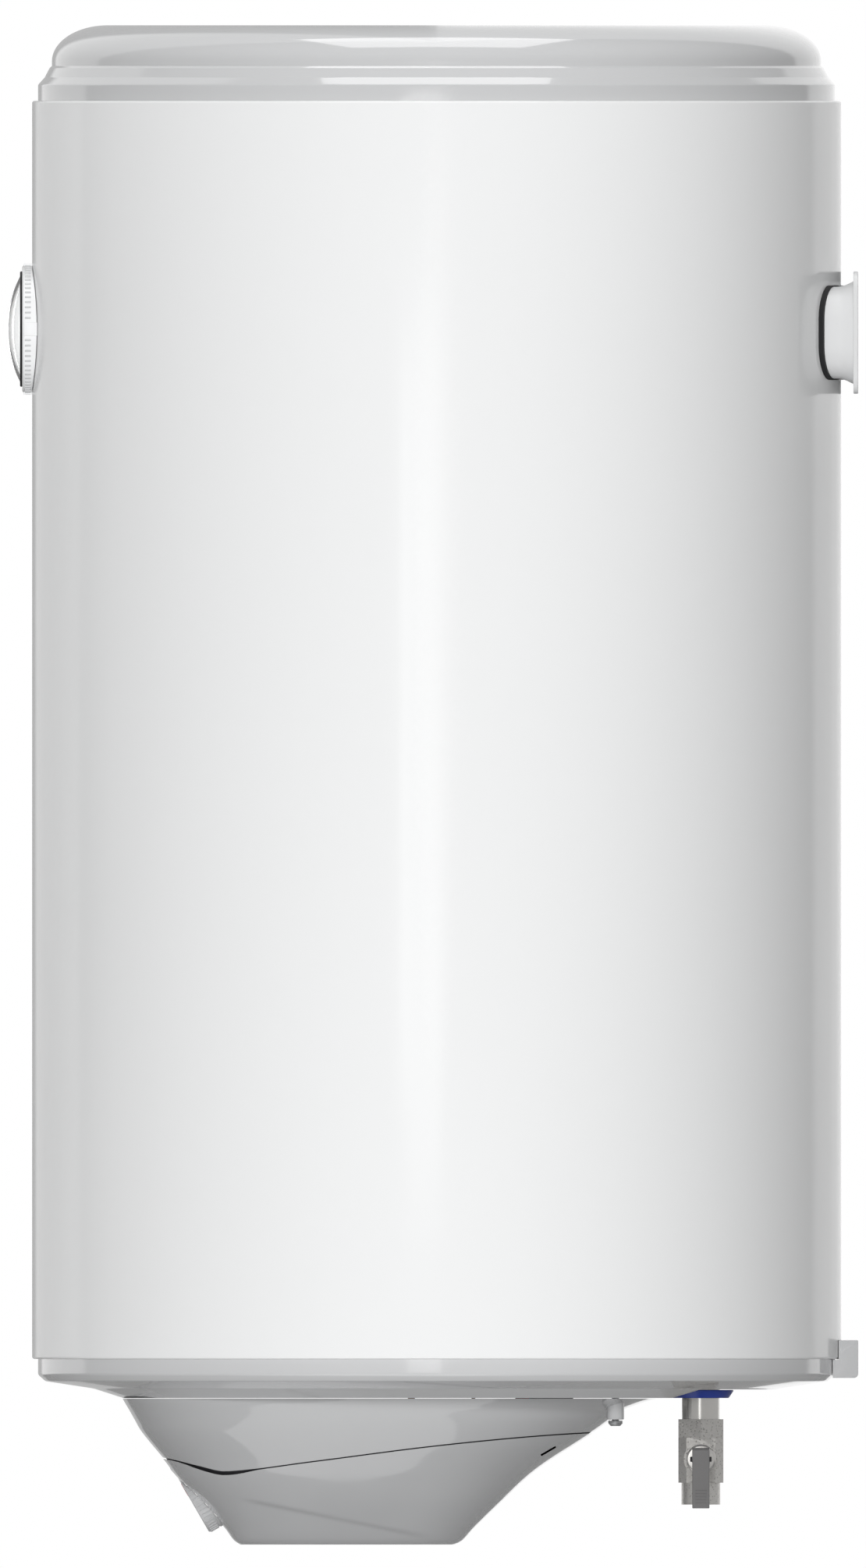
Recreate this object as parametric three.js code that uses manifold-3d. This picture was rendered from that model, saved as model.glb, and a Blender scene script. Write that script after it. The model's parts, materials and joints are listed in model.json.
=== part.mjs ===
// Wall-hung electric storage water heater of about 75 litres, as the separate pieces it is made of.
// Millimetres. +Z is up, -Y is the front and +Y points into the wall.
// The origin is the centre of the wall bracket's back face. Inside the group every piece is drawn
// round the tank: its axis is x = y = 0, and z = 0 is the lower edge of the outer jacket.

import * as THREE from "three";
import { mergeVertices } from "three/addons/utils/BufferGeometryUtils.js";
import Module from "manifold-3d";

const wasm = await Module();
wasm.setup();

// ---- Driving dimensions ----

const CLEARANCE = 0.3; // between two pieces that touch
const BIG_SIDES = 32; // facets round the tank, the jacket and the caps
const MID_SIDES = 16; // facets round pipes, the gauge and the knob
const SMALL_SIDES = 8; // facets round studs, pins and bores
const DOME_STEPS = 4; // steps from the rim of a tank dome to its middle

const JACKET_RADIUS = 225;
const JACKET_HEIGHT = 700;
const JACKET_WALL = 1;
const JACKET_HEM = 3; // rim turned inwards at both ends
const WALL_DISTANCE = 9.5; // from the back of the jacket to the wall

const CAP_WALL = 2.5;
const CAP_SKIRT = 12; // how far each cap reaches into the jacket
const TOP_CAP_HEIGHT = 42;
const BOTTOM_CAP_DEPTH = 21.7;

const FOAM_WALL = 29; // from the jacket's outside to the tank
const TANK_WALL = 2;
const TANK_BASE = 70; // where the tank's straight wall starts
const TANK_HEAD_DROP = 60; // from the jacket's top down to the end of that wall
const DOME_RISE = 58;

const FLANGE_RADIUS = 61.7;
const FLANGE_BORE = 46;
const FLANGE_TOP = 19.5; // upper end of the collar welded into the lower dome
const FLANGE_FACE = 4; // lower face of that collar
const GASKET_THICKNESS = 2.5;
const FLANGE_PLATE_THICKNESS = 3;
const STUD_COUNT = 5;
const STUD_CIRCLE = 54;
const STUD_RADIUS = 4;
const STUD_END = -18;
const NUT_FLATS = 13;
const NUT_HEIGHT = 6.5;

const ELEMENT_RADIUS = 4.25;
const ELEMENT_SPREAD = 16; // from the middle plane to each leg
const ELEMENT_Y = -14;
const ELEMENT_TOP = 300;
const POCKET_RADIUS = 5;
const POCKET_WALL = 1;
const POCKET_TOP = 280;
const POCKET_Y = 24;
const ANODE_RADIUS = 11;
const ANODE_TOP = 240;
const ANODE_STUD_RADIUS = 3;
const ANODE_AT = [-27, 10];

const PIPE_RADIUS = 10.48;
const PIPE_BORE = 8;
const PIPE_SPREAD = 50; // from the middle plane to each pipe
const PIPE_TO_BACK = 78; // from the pipes' axes to the back of the jacket
const PIPE_END = -45;
const NIPPLE_TOP = 60;
const RING_RADIUS = 18.6;
const RING_TIP_RADIUS = 15.5;

const BRACKET_DROP = 129; // from the jacket's top down to the bracket's centre
const BRACKET_PLATE = [156, 68]; // width and height of the plate on the wall
const BRACKET_BODY = [142, 51];
const BRACKET_MOUTH = [146, 57.2]; // the body where it meets the plate
const BRACKET_SHEET = 2.6;
const BRACKET_BEND = 8; // how far in front of the plate the body starts to flare
const HOOK_SLOT = [14, 26];
const HOOK_SPREAD = 42; // from the middle plane to each hook slot
const SPACER_WIDTH = 54;
const SPACER_HEIGHT = 21;

const COVER_FRONT_TO_JACKET = 49.8; // from the jacket's front to the cover's front edge
const COVER_REAR_TO_PIPES = 24; // from the pipes' axes to the cover's rear edge
const COVER_WALL = 2.5;
const COVER_HALF_WIDTH = 128;
const COVER_PARTING = 0.8; // gap between the cover's two shells
const LUG_RADIUS = 4.8;
const LUG_SPREAD = 62;
const LUG_TO_REAR = 23.5;
const LUG_END = -34;
const OPENING_RADIUS = 98; // hole in the bottom cap for the flange and the electrics
const OPENING_Y = -5;

const KNOB_RADIUS = 18;
const KNOB_DEPTH = 9.4;
const KNOB_TILT = THREE.MathUtils.degToRad(30); // below the horizontal
const KNOB_FACE_BACK = 40; // from the cover's front edge back to the centre of the knob's face
const KNOB_FACE_Z = -81.3;
const SPINDLE_RADIUS = 3;
const THERMOSTAT_SIZE = [34, 34, 30];

const GAUGE_DROP = 127; // from the jacket's top down to the gauge's centre
const GAUGE_RADIUS = 36;
const GAUGE_PROUD = 5.5;
const GAUGE_BARREL = 29;
const GAUGE_DEPTH = 20; // from the jacket's front to the back of the barrel
const LENS_RADIUS = 31.5;
const LENS_RISE = 8.5;
const LENS_WALL = 1.8;

const VALVE_SOCKET_WALL = 2.02; // between the pipe and the flats of the valve's hexagon
const VALVE_TOP = -33.5;
const VALVE_HEX_END = -43.8;
const VALVE_BODY_END = -68.8;
const VALVE_END = -81;
const VALVE_THREAD_RADIUS = 10.8;
const BRANCH_Z = -55.8;
const BRANCH_RADIUS = 9.5;
const BRANCH_LENGTH = 24; // from the pipe's axis to the end of the branch
const CHAMBER_RADIUS = 6.8;
const BONNET_RADIUS = 8.25;
const BONNET_END = 38; // from the pipe's axis
const STEM_RADIUS = 2;
const LEVER_PIN_X = 42; // from the pipe's axis
const LEVER_PIN_RADIUS = 1.4;
const LEVER_WIDTH = 9.55;
const LEVER_DROP = 27.3; // from the pin to the lever's tip
const SPOUT_X = 19;
const SPOUT_RADIUS = 4.5;

// ---- Places that follow from them ----

const TANK_RADIUS = JACKET_RADIUS - FOAM_WALL;
const TANK_HEAD = JACKET_HEIGHT - TANK_HEAD_DROP;
const CAP_RADIUS = JACKET_RADIUS - JACKET_HEM - CLEARANCE;
const WALL_Y = JACKET_RADIUS + WALL_DISTANCE;
const PIPE_Y = JACKET_RADIUS - PIPE_TO_BACK;
const BRACKET_Z = JACKET_HEIGHT - BRACKET_DROP;
const GAUGE_Z = JACKET_HEIGHT - GAUGE_DROP;
const GAUGE_FACE = JACKET_RADIUS + GAUGE_PROUD;
const COVER_FRONT = JACKET_RADIUS - COVER_FRONT_TO_JACKET;
const COVER_REAR = PIPE_Y - COVER_REAR_TO_PIPES;
const COVER_TOP = -BOTTOM_CAP_DEPTH - CLEARANCE;
const POCKET_CLEARANCE = 1; // round the knob in its recess
const RECESS_RADIUS = KNOB_RADIUS + POCKET_CLEARANCE;
const RECESS_DEPTH = KNOB_DEPTH + 0.6;
const RECESS_BACK = RECESS_DEPTH + COVER_WALL;
const GASKET_TOP = FLANGE_FACE - CLEARANCE;
const PLATE_TOP = GASKET_TOP - GASKET_THICKNESS - CLEARANCE;
const PLATE_BACK = PLATE_TOP - FLANGE_PLATE_THICKNESS;
const NUT_TOP = PLATE_BACK - CLEARANCE;
const VALVE_FLATS = 2 * (PIPE_RADIUS + VALVE_SOCKET_WALL);
const RECESS_Z = -16.9; // underside of the raised rear part of the bottom cap
const PIPE_SIDES = [
  { name: "cold", x: PIPE_SPREAD },
  { name: "hot", x: -PIPE_SPREAD },
];

// ---- Shape helpers ----

const UP_TO_FRONT = Math.PI / 2; // turns +Z to -Y about X
const UP_TO_RIGHT = Math.PI / 2; // turns +Z to +X about Y

// A closed three.js geometry as a solid, with its faces pointing outwards.
function toSolid(geometry) {
  const bare = new THREE.BufferGeometry();
  bare.setAttribute("position", geometry.attributes.position);
  bare.setIndex(geometry.index);
  const merged = mergeVertices(bare, 1e-4);
  const position = merged.attributes.position;
  const triangles = [];
  let volume = 0;
  const [a, b, c] = [new THREE.Vector3(), new THREE.Vector3(), new THREE.Vector3()];
  for (let i = 0; i < merged.index.count; i += 3) {
    const corner = [0, 1, 2].map((k) => merged.index.getX(i + k));
    if (new Set(corner).size < 3) continue;
    triangles.push(corner);
    [a, b, c].forEach((point, k) => point.fromBufferAttribute(position, corner[k]));
    volume += a.dot(b.cross(c));
  }
  if (volume < 0) triangles.forEach((corner) => corner.reverse());
  const mesh = new wasm.Mesh({
    numProp: 3,
    vertProperties: Float32Array.from(position.array),
    triVerts: Uint32Array.from(triangles.flat()),
  });
  return new wasm.Manifold(mesh);
}

function toGeometry(solid) {
  const { vertProperties, triVerts } = solid.getMesh();
  const geometry = new THREE.BufferGeometry();
  geometry.setAttribute("position", new THREE.BufferAttribute(vertProperties, 3));
  geometry.setIndex(new THREE.BufferAttribute(triVerts, 1));
  geometry.computeVertexNormals();
  return geometry;
}

function combine(method, first, others) {
  return toGeometry(others.reduce((solid, next) => solid[method](toSolid(next)), toSolid(first)));
}

const join = (first, ...others) => combine("add", first, others);
const cut = (first, ...others) => combine("subtract", first, others);
const common = (first, ...others) => combine("intersect", first, others);

// A turned piece round Z. The outline is [radius, height] pairs, from axis to axis or all the way round.
function spin(outline, sides = BIG_SIDES) {
  const points = outline.map(([radius, height]) => new THREE.Vector2(radius, height));
  if (outline[0][0] > 0) points.push(points[0].clone());
  return new THREE.LatheGeometry(points, sides).rotateX(Math.PI / 2);
}

function rod(radius, low, high, sides = SMALL_SIDES) {
  return spin([[0, low], [radius, low], [radius, high], [0, high]], sides);
}

function tube(outer, inner, low, high, sides = SMALL_SIDES) {
  return spin([[inner, low], [outer, low], [outer, high], [inner, high]], sides);
}

// A straight prism with flat sides. The first corner stands at the given angle from +X.
function prism(flats, count, low, high, firstAngle = 0) {
  const radius = flats / 2 / Math.cos(Math.PI / count);
  const corners = Array.from({ length: count }, (_, i) => firstAngle + (i * 2 * Math.PI) / count);
  const shape = new THREE.Shape(
    corners.map((angle) => new THREE.Vector2(radius * Math.cos(angle), radius * Math.sin(angle))),
  );
  return extrude(shape, low, high);
}

function extrude(shape, low, high) {
  const options = { depth: high - low, bevelEnabled: false, curveSegments: 4 };
  return new THREE.ExtrudeGeometry(shape, options).translate(0, 0, low);
}

// An outline in the middle plane, as [y, z] pairs, drawn out along X to both sides.
function sideOutline(points, halfWidth) {
  const shape = new THREE.Shape(points.map(([y, z]) => new THREE.Vector2(y, z)));
  const geometry = extrude(shape, -halfWidth, halfWidth);
  const axes = new THREE.Matrix4().makeBasis(
    new THREE.Vector3(0, 1, 0),
    new THREE.Vector3(0, 0, 1),
    new THREE.Vector3(1, 0, 0),
  );
  return geometry.applyMatrix4(axes);
}

function box([x0, x1], [y0, y1], [z0, z1]) {
  const geometry = new THREE.BoxGeometry(x1 - x0, y1 - y0, z1 - z0);
  return geometry.translate((x0 + x1) / 2, (y0 + y1) / 2, (z0 + z1) / 2);
}

function roundedRectangle(width, height, radius) {
  const [x, y, r] = [width / 2, height / 2, radius];
  const shape = new THREE.Shape();
  shape.moveTo(-x + r, -y);
  shape.absarc(x - r, -y + r, r, -Math.PI / 2, 0);
  shape.absarc(x - r, y - r, r, 0, Math.PI / 2);
  shape.absarc(-x + r, y - r, r, Math.PI / 2, Math.PI);
  shape.absarc(-x + r, -y + r, r, Math.PI, 1.5 * Math.PI);
  return shape;
}

// A closed skin over a stack of rings, each a list of points, with a flat fan at both ends.
function loft(rings) {
  const count = rings[0].length;
  const index = [];
  for (let level = 0; level + 1 < rings.length; level += 1) {
    for (let i = 0; i < count; i += 1) {
      const next = (i + 1) % count;
      const [a, b] = [level * count + i, level * count + next];
      index.push(a, b, b + count, a, b + count, a + count);
    }
  }
  const last = (rings.length - 1) * count;
  for (let i = 1; i + 1 < count; i += 1) {
    index.push(0, i + 1, i, last, last + i, last + i + 1);
  }
  const geometry = new THREE.BufferGeometry().setFromPoints(rings.flat());
  geometry.setIndex(index);
  return geometry;
}

// A round bar along a smooth line through the points.
function bar(points, radius, steps, sides = 6) {
  const path = new THREE.CatmullRomCurve3(points.map((point) => new THREE.Vector3(...point)));
  const corners = Array.from({ length: sides }, (_, i) => (i * 2 * Math.PI) / sides);
  const section = new THREE.Shape(
    corners.map((angle) => new THREE.Vector2(radius * Math.cos(angle), radius * Math.sin(angle))),
  );
  return new THREE.ExtrudeGeometry(section, { extrudePath: path, steps, bevelEnabled: false });
}

// A compression spring round Z from low to high.
function spring(coilRadius, wireRadius, low, high, turns) {
  const perTurn = 8;
  const rise = high - low - 2 * wireRadius;
  const points = Array.from({ length: turns * perTurn + 1 }, (_, i) => {
    const angle = (i * 2 * Math.PI) / perTurn;
    const height = low + wireRadius + (rise * i) / (turns * perTurn);
    return [coilRadius * Math.cos(angle), coilRadius * Math.sin(angle), height];
  });
  return bar(points, wireRadius, turns * perTurn, 4);
}

function quarterEllipse(centre, [across, up], from, to, count) {
  return Array.from({ length: count + 1 }, (_, i) => {
    const angle = from + ((to - from) * i) / count;
    return [centre[0] + across * Math.cos(angle), centre[1] + up * Math.sin(angle)];
  });
}

// The same outline moved inwards by the wall's thickness. It runs from its rim to the axis.
function inset(outline, wall, side) {
  return outline.map(([radius, height], i) => {
    const before = outline[Math.max(i - 1, 0)];
    const after = outline[Math.min(i + 1, outline.length - 1)];
    const run = new THREE.Vector2(after[0] - before[0], after[1] - before[1]).normalize();
    const moved = radius === 0 ? 0 : radius - side * run.y * wall;
    return [moved, height + (radius === 0 ? -side * wall : side * run.x * wall)];
  });
}

// ---- Outer shell ----

function outerJacket() {
  const rim = JACKET_RADIUS - JACKET_HEM;
  const inner = JACKET_RADIUS - JACKET_WALL;
  const sheet = spin([
    [JACKET_RADIUS, 0],
    [JACKET_RADIUS, JACKET_HEIGHT],
    [rim, JACKET_HEIGHT],
    [rim, JACKET_HEIGHT - JACKET_WALL],
    [inner, JACKET_HEIGHT - JACKET_WALL],
    [inner, JACKET_WALL],
    [rim, JACKET_WALL],
    [rim, 0],
  ]);
  return cut(sheet, bracketSolid(3, 0.8, true), gaugeHole(0, JACKET_RADIUS + 20));
}

function topCapOutline() {
  const shoulder = quarterEllipse([CAP_RADIUS - 38.7, 22], [31, TOP_CAP_HEIGHT - 22], 0, Math.PI / 2, 4);
  return [
    [CAP_RADIUS, -CAP_SKIRT],
    [CAP_RADIUS, 8.9],
    [CAP_RADIUS - 3.7, 13],
    [CAP_RADIUS - 6.2, 17.5],
    [CAP_RADIUS - 7.2, 19],
    ...shoulder,
    [0, TOP_CAP_HEIGHT],
  ];
}

function topCap() {
  const outside = topCapOutline();
  const inside = inset(outside, CAP_WALL, 1);
  inside[0] = [CAP_RADIUS - CAP_WALL, -CAP_SKIRT];
  const shell = spin([[0, TOP_CAP_HEIGHT], ...outside.toReversed().slice(1), ...inside]);
  return shell.translate(0, 0, JACKET_HEIGHT);
}

function bottomCapOutline() {
  return [
    [CAP_RADIUS, CAP_SKIRT],
    [CAP_RADIUS, -8.7],
    [CAP_RADIUS - 4.1, -12.3],
    [CAP_RADIUS - 31, -16.4],
    [CAP_RADIUS - 47.4, -BOTTOM_CAP_DEPTH],
    [0, -BOTTOM_CAP_DEPTH],
  ];
}

// The raised rear part of the bottom cap, with a bay round each pipe's ring.
function rearRecess(grow) {
  const [front, back, ceiling] = [PIPE_Y - 16 - grow, PIPE_Y - grow, RECESS_Z + grow];
  const floor = -BOTTOM_CAP_DEPTH;
  const far = JACKET_RADIUS + 20;
  const outline = [[front, floor - 20], [front, floor], [back, ceiling], [far, ceiling], [far, floor - 20]];
  const bays = PIPE_SIDES.map(({ x }) =>
    rod(RING_RADIUS + 0.9 + grow, floor - 10, ceiling, MID_SIDES).translate(x, PIPE_Y, 0),
  );
  return join(sideOutline(outline, far), ...bays);
}

function bottomCap() {
  const outside = bottomCapOutline();
  const inside = inset(outside, CAP_WALL, -1);
  inside[0] = [CAP_RADIUS - CAP_WALL, CAP_SKIRT + 1];
  const shell = cut(
    cut(spin([[0, CAP_SKIRT], ...outside]), rearRecess(0)),
    cut(spin([[0, CAP_SKIRT + 1], ...inside]), rearRecess(CAP_WALL)),
  );
  const opening = rod(OPENING_RADIUS, -40, 0, MID_SIDES).translate(0, OPENING_Y, 0);
  const pipeHoles = PIPE_SIDES.map(({ x }) =>
    rod(PIPE_RADIUS + 0.6, -40, 0, MID_SIDES).translate(x, PIPE_Y, 0),
  );
  const screwHoles = lugPlaces().map(([x, y]) => rod(2.4, -40, 0).translate(x, y, 0));
  return cut(shell, opening, ...pipeHoles, ...screwHoles);
}

function insulationFoam() {
  const jacketSide = JACKET_RADIUS - JACKET_WALL - 0.4;
  const skirtSide = CAP_RADIUS - CAP_WALL - 0.4;
  const top = JACKET_HEIGHT + TOP_CAP_HEIGHT - CAP_WALL - 1;
  const mouth = OPENING_RADIUS - 2;
  const [foamLow, foamHigh] = [CAP_SKIRT + 0.6, JACKET_HEIGHT - CAP_SKIRT - 0.6];
  const cavity = tankOutline(0.5).filter(([radius, height]) => height > TANK_BASE || radius > mouth);
  const mouthTop = TANK_BASE - (DOME_RISE + 0.5) * Math.sqrt(1 - (mouth / (TANK_RADIUS + 0.5)) ** 2);
  const block = spin([
    [0, top],
    [CAP_RADIUS - 41.7, top],
    [CAP_RADIUS - 14, JACKET_HEIGHT + 24],
    [skirtSide, JACKET_HEIGHT + 5],
    [skirtSide, foamHigh],
    [jacketSide, foamHigh],
    [jacketSide, foamLow],
    [skirtSide, foamLow],
    [skirtSide, 0],
    [CAP_RADIUS - 12, -6],
    [CAP_RADIUS - 36, -12],
    [mouth, -12],
    [mouth, mouthTop],
    ...cavity,
  ]);
  const pipes = PIPE_SIDES.map(({ x }) =>
    rod(PIPE_RADIUS + 0.6, -30, NIPPLE_TOP, MID_SIDES).translate(x, PIPE_Y, 0),
  );
  const probe = rod(4, TANK_RADIUS - 5, GAUGE_FACE).rotateX(UP_TO_FRONT).translate(0, 0, GAUGE_Z);
  const gaugeRoom = gaugeHole(JACKET_RADIUS - GAUGE_DEPTH - CLEARANCE, GAUGE_FACE);
  return cut(block, bracketSolid(0.5, 0.5, true), gaugeRoom, probe, ...pipes);
}

// ---- Tank ----

// The tank's outside from the middle of its lower dome to the middle of its upper one.
function tankOutline(grow, arcSteps = DOME_STEPS) {
  const size = [TANK_RADIUS + grow, DOME_RISE + grow];
  const lower = quarterEllipse([0, TANK_BASE], size, -Math.PI / 2, 0, arcSteps);
  const upper = quarterEllipse([0, TANK_HEAD], size, 0, Math.PI / 2, arcSteps);
  lower[0][0] = 0;
  upper[arcSteps][0] = 0;
  return [...lower, ...upper];
}

function tankShell() {
  const low = TANK_BASE + CLEARANCE;
  return tube(TANK_RADIUS, TANK_RADIUS - TANK_WALL, low, TANK_HEAD - CLEARANCE, BIG_SIDES);
}

// One end of the tank: the wall between two similar ellipses. Up is 1 for the top, -1 for the bottom.
function dome(base, up) {
  const quarter = (grow) => quarterEllipse(
    [0, base],
    [TANK_RADIUS + grow, up * (DOME_RISE + grow)],
    0,
    Math.PI / 2,
    DOME_STEPS,
  );
  const [outside, inside] = [quarter(0), quarter(-TANK_WALL)];
  outside[DOME_STEPS][0] = 0;
  inside[DOME_STEPS][0] = 0;
  return spin([...outside.toReversed(), ...inside]);
}

function tankTopDome() {
  return dome(TANK_HEAD, 1);
}

function tankBottomDome() {
  const reach = [-5, TANK_BASE];
  const pipeHoles = PIPE_SIDES.map(({ x }) =>
    rod(PIPE_RADIUS + CLEARANCE, ...reach, MID_SIDES).translate(x, PIPE_Y, 0),
  );
  return cut(dome(TANK_BASE, -1), rod(FLANGE_RADIUS + CLEARANCE, ...reach, MID_SIDES), ...pipeHoles);
}

// ---- Flange and what it carries ----

function studPlaces() {
  return Array.from({ length: STUD_COUNT }, (_, i) => {
    const angle = Math.PI / 2 + (i * 2 * Math.PI) / STUD_COUNT;
    return [STUD_CIRCLE * Math.cos(angle), STUD_CIRCLE * Math.sin(angle)];
  });
}

const studHoles = (radius) => studPlaces().map(([x, y]) => rod(radius, -40, 40).translate(x, y, 0));

function flangeCollar() {
  const ring = tube(FLANGE_RADIUS, FLANGE_BORE, FLANGE_FACE, FLANGE_TOP, MID_SIDES);
  const studs = studPlaces().map(([x, y]) => rod(STUD_RADIUS, STUD_END, FLANGE_FACE + 3).translate(x, y, 0));
  return join(ring, ...studs);
}

function flangeGasket() {
  const low = GASKET_TOP - GASKET_THICKNESS;
  const ring = tube(FLANGE_RADIUS, FLANGE_BORE, low, GASKET_TOP, MID_SIDES);
  return cut(ring, ...studHoles(STUD_RADIUS + 0.5));
}

function flangePlate() {
  const disc = rod(FLANGE_RADIUS, PLATE_BACK, PLATE_TOP, MID_SIDES);
  const legs = [-1, 1].map((side) =>
    rod(ELEMENT_RADIUS + 0.4, -20, 20).translate(side * ELEMENT_SPREAD, ELEMENT_Y, 0),
  );
  const pocket = rod(POCKET_RADIUS + 0.4, -20, 20).translate(0, POCKET_Y, 0);
  const anode = rod(ANODE_STUD_RADIUS + 0.4, -20, 20).translate(...ANODE_AT, 0);
  return cut(disc, ...studHoles(STUD_RADIUS + 0.5), ...legs, pocket, anode);
}

// A hexagon nut with a plain bore, its upper face at the given height.
function nut(flats, height, boreRadius, [x, y], top) {
  const blank = prism(flats, 6, top - height, top);
  return cut(blank, rod(boreRadius, top - height - 1, top + 1)).translate(x, y, 0);
}

function heatingElement() {
  const legs = [-1, 1].flatMap((side) => [
    rod(ELEMENT_RADIUS, PLATE_BACK - 4, ELEMENT_TOP, 8).translate(side * ELEMENT_SPREAD, ELEMENT_Y, 0),
    rod(2, PLATE_BACK - 20, PLATE_BACK - 3, 8).translate(side * ELEMENT_SPREAD, ELEMENT_Y, 0),
  ]);
  const start = ELEMENT_TOP - 1;
  const arc = Array.from({ length: 9 }, (_, i) => {
    const angle = Math.PI - (i * Math.PI) / 8;
    const reach = ELEMENT_SPREAD;
    return [reach * Math.cos(angle), ELEMENT_Y, start + reach * Math.sin(angle)];
  });
  return join(bar(arc, ELEMENT_RADIUS, 8, 8), ...legs);
}

function sensorPocket() {
  const [outer, inner] = [POCKET_RADIUS, POCKET_RADIUS - POCKET_WALL];
  const [collar, low] = [NUT_TOP, NUT_TOP - 4];
  const outline = [
    [0, POCKET_TOP],
    [outer, POCKET_TOP],
    [outer, collar],
    [outer + 3, collar],
    [outer + 3, low],
    [inner, low],
    [inner, POCKET_TOP - 2],
    [0, POCKET_TOP - 2],
  ];
  return spin(outline, SMALL_SIDES).translate(0, POCKET_Y, 0);
}

function anodeRod() {
  const bar = rod(ANODE_RADIUS, PLATE_TOP + 8, ANODE_TOP);
  const stud = rod(ANODE_STUD_RADIUS, PLATE_BACK - 9, PLATE_TOP + 9);
  return join(bar, stud).translate(...ANODE_AT, 0);
}

// ---- Electrics under the flange ----

const CARRIER_TOP = NUT_TOP - NUT_HEIGHT - CLEARANCE;
const CARRIER_BACK = CARRIER_TOP - 1.5;
const BLOCK_TOP = CARRIER_BACK - CLEARANCE;
const TERMINAL_X = [-47, -11];
const TERMINAL_Y = [58, 76];
const CUTOUT_X = [11, 47];
const CUTOUT_Y = [52, 76];
const BLOCK_LOW = -33;
const RESET_AT = [29, 64];
const RESET_RADIUS = 4;

function carrierPlate() {
  const plate = box([-49, 49], [42, 78], [CARRIER_BACK, CARRIER_TOP]);
  return cut(plate, ...studHoles(STUD_RADIUS + 0.5));
}

function terminalBlock() {
  const block = box(TERMINAL_X, TERMINAL_Y, [BLOCK_LOW, BLOCK_TOP]);
  const screwWells = [-39, -29, -19].map((x) => rod(3, BLOCK_LOW - 1, BLOCK_LOW + 6).translate(x, 67, 0));
  return cut(block, ...screwWells);
}

function safetyCutout() {
  const block = box(CUTOUT_X, CUTOUT_Y, [BLOCK_LOW, BLOCK_TOP]);
  return cut(block, rod(RESET_RADIUS + CLEARANCE, BLOCK_LOW - 1, BLOCK_LOW + 8).translate(...RESET_AT, 0));
}

function resetButton() {
  return rod(RESET_RADIUS, BLOCK_LOW - 3, BLOCK_LOW + 4).translate(...RESET_AT, 0);
}

// A lead from one leg of the heating element to the block on its side.
function elementLead(side, blockFront) {
  const legX = side * ELEMENT_SPREAD;
  const points = [
    [legX, ELEMENT_Y, PLATE_BACK - 20.4],
    [legX, ELEMENT_Y, PLATE_BACK - 25],
    [legX + side * 2, ELEMENT_Y + 12, PLATE_BACK - 31],
    [legX + side * 7, blockFront - 22, PLATE_BACK - 29],
    [legX + side * 11, blockFront - 6, BLOCK_TOP - 11],
    [legX + side * 11, blockFront - 0.5, BLOCK_TOP - 10.5],
  ];
  return bar(points, 1.3, 16);
}

function bridgeLead() {
  const y = 67;
  const z = BLOCK_TOP - 9;
  const points = [
    [TERMINAL_X[1] + 1, y, z],
    [TERMINAL_X[1] + 5, y, z - 1],
    [CUTOUT_X[0] - 5, y, z - 1],
    [CUTOUT_X[0] - 1, y, z],
  ];
  return bar(points, 1.3, 8);
}

// ---- Pipes ----

function nipple({ x }) {
  return tube(PIPE_RADIUS, PIPE_BORE, PIPE_END, NIPPLE_TOP, MID_SIDES).translate(x, PIPE_Y, 0);
}

// Slotted cap over the cold pipe, so that the inflow spreads sideways.
function inletDiffuser() {
  const inner = PIPE_RADIUS + CLEARANCE;
  const outer = inner + 1.8;
  const [low, high] = [NIPPLE_TOP - 10, NIPPLE_TOP + 22];
  const outline = [[0, high], [outer, high], [outer, low], [inner, low], [inner, high - 2], [0, high - 2]];
  const windows = [0, 1].map((turn) =>
    box([-20, 20], [-5, 5], [NIPPLE_TOP + 3, high - 4]).rotateZ((turn * Math.PI) / 2),
  );
  return cut(spin(outline, MID_SIDES), ...windows).translate(PIPE_SPREAD, PIPE_Y, 0);
}

function outletStandpipe() {
  const outer = PIPE_BORE - 0.4;
  const atDome = Math.hypot(PIPE_SPREAD, PIPE_Y) + outer;
  const ceiling = TANK_HEAD + DOME_RISE * Math.sqrt(1 - (atDome / TANK_RADIUS) ** 2);
  return tube(outer, outer - 1, 0, ceiling - 12, SMALL_SIDES).translate(-PIPE_SPREAD, PIPE_Y, 0);
}

function pipeRing({ x }) {
  const inner = PIPE_RADIUS + CLEARANCE;
  const [low, high] = [-BOTTOM_CAP_DEPTH, RECESS_Z - CLEARANCE];
  const outline = [[inner, low], [RING_TIP_RADIUS, low], [RING_RADIUS, high], [inner, high]];
  return spin(outline, MID_SIDES).translate(x, PIPE_Y, 0);
}

// ---- Wall fixings ----

// One outline of the bracket's pressed body, standing at the given distance from the tank's axis.
function bracketRing(y, width, height, radius) {
  const points = roundedRectangle(width, height, radius).getPoints(3).slice(0, -1);
  return points.map(({ x, y: z }) => new THREE.Vector3(x, y, z + BRACKET_Z));
}

// The bracket's body as a solid that flares towards the wall, grown sideways and in height.
function bracketSolid(growWidth, growHeight, straight = false) {
  const plateFront = WALL_Y - BRACKET_SHEET;
  const grown = ([width, height]) => [width + 2 * growWidth, height + 2 * growHeight];
  const [body, mouth] = [grown(BRACKET_BODY), grown(straight ? BRACKET_BODY : BRACKET_MOUTH)];
  const radius = 18 + Math.min(growWidth, growHeight);
  return loft([
    bracketRing(TANK_RADIUS - 25, ...body, radius),
    bracketRing(plateFront - BRACKET_BEND, ...body, radius),
    bracketRing(plateFront, ...mouth, radius),
  ]);
}

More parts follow.
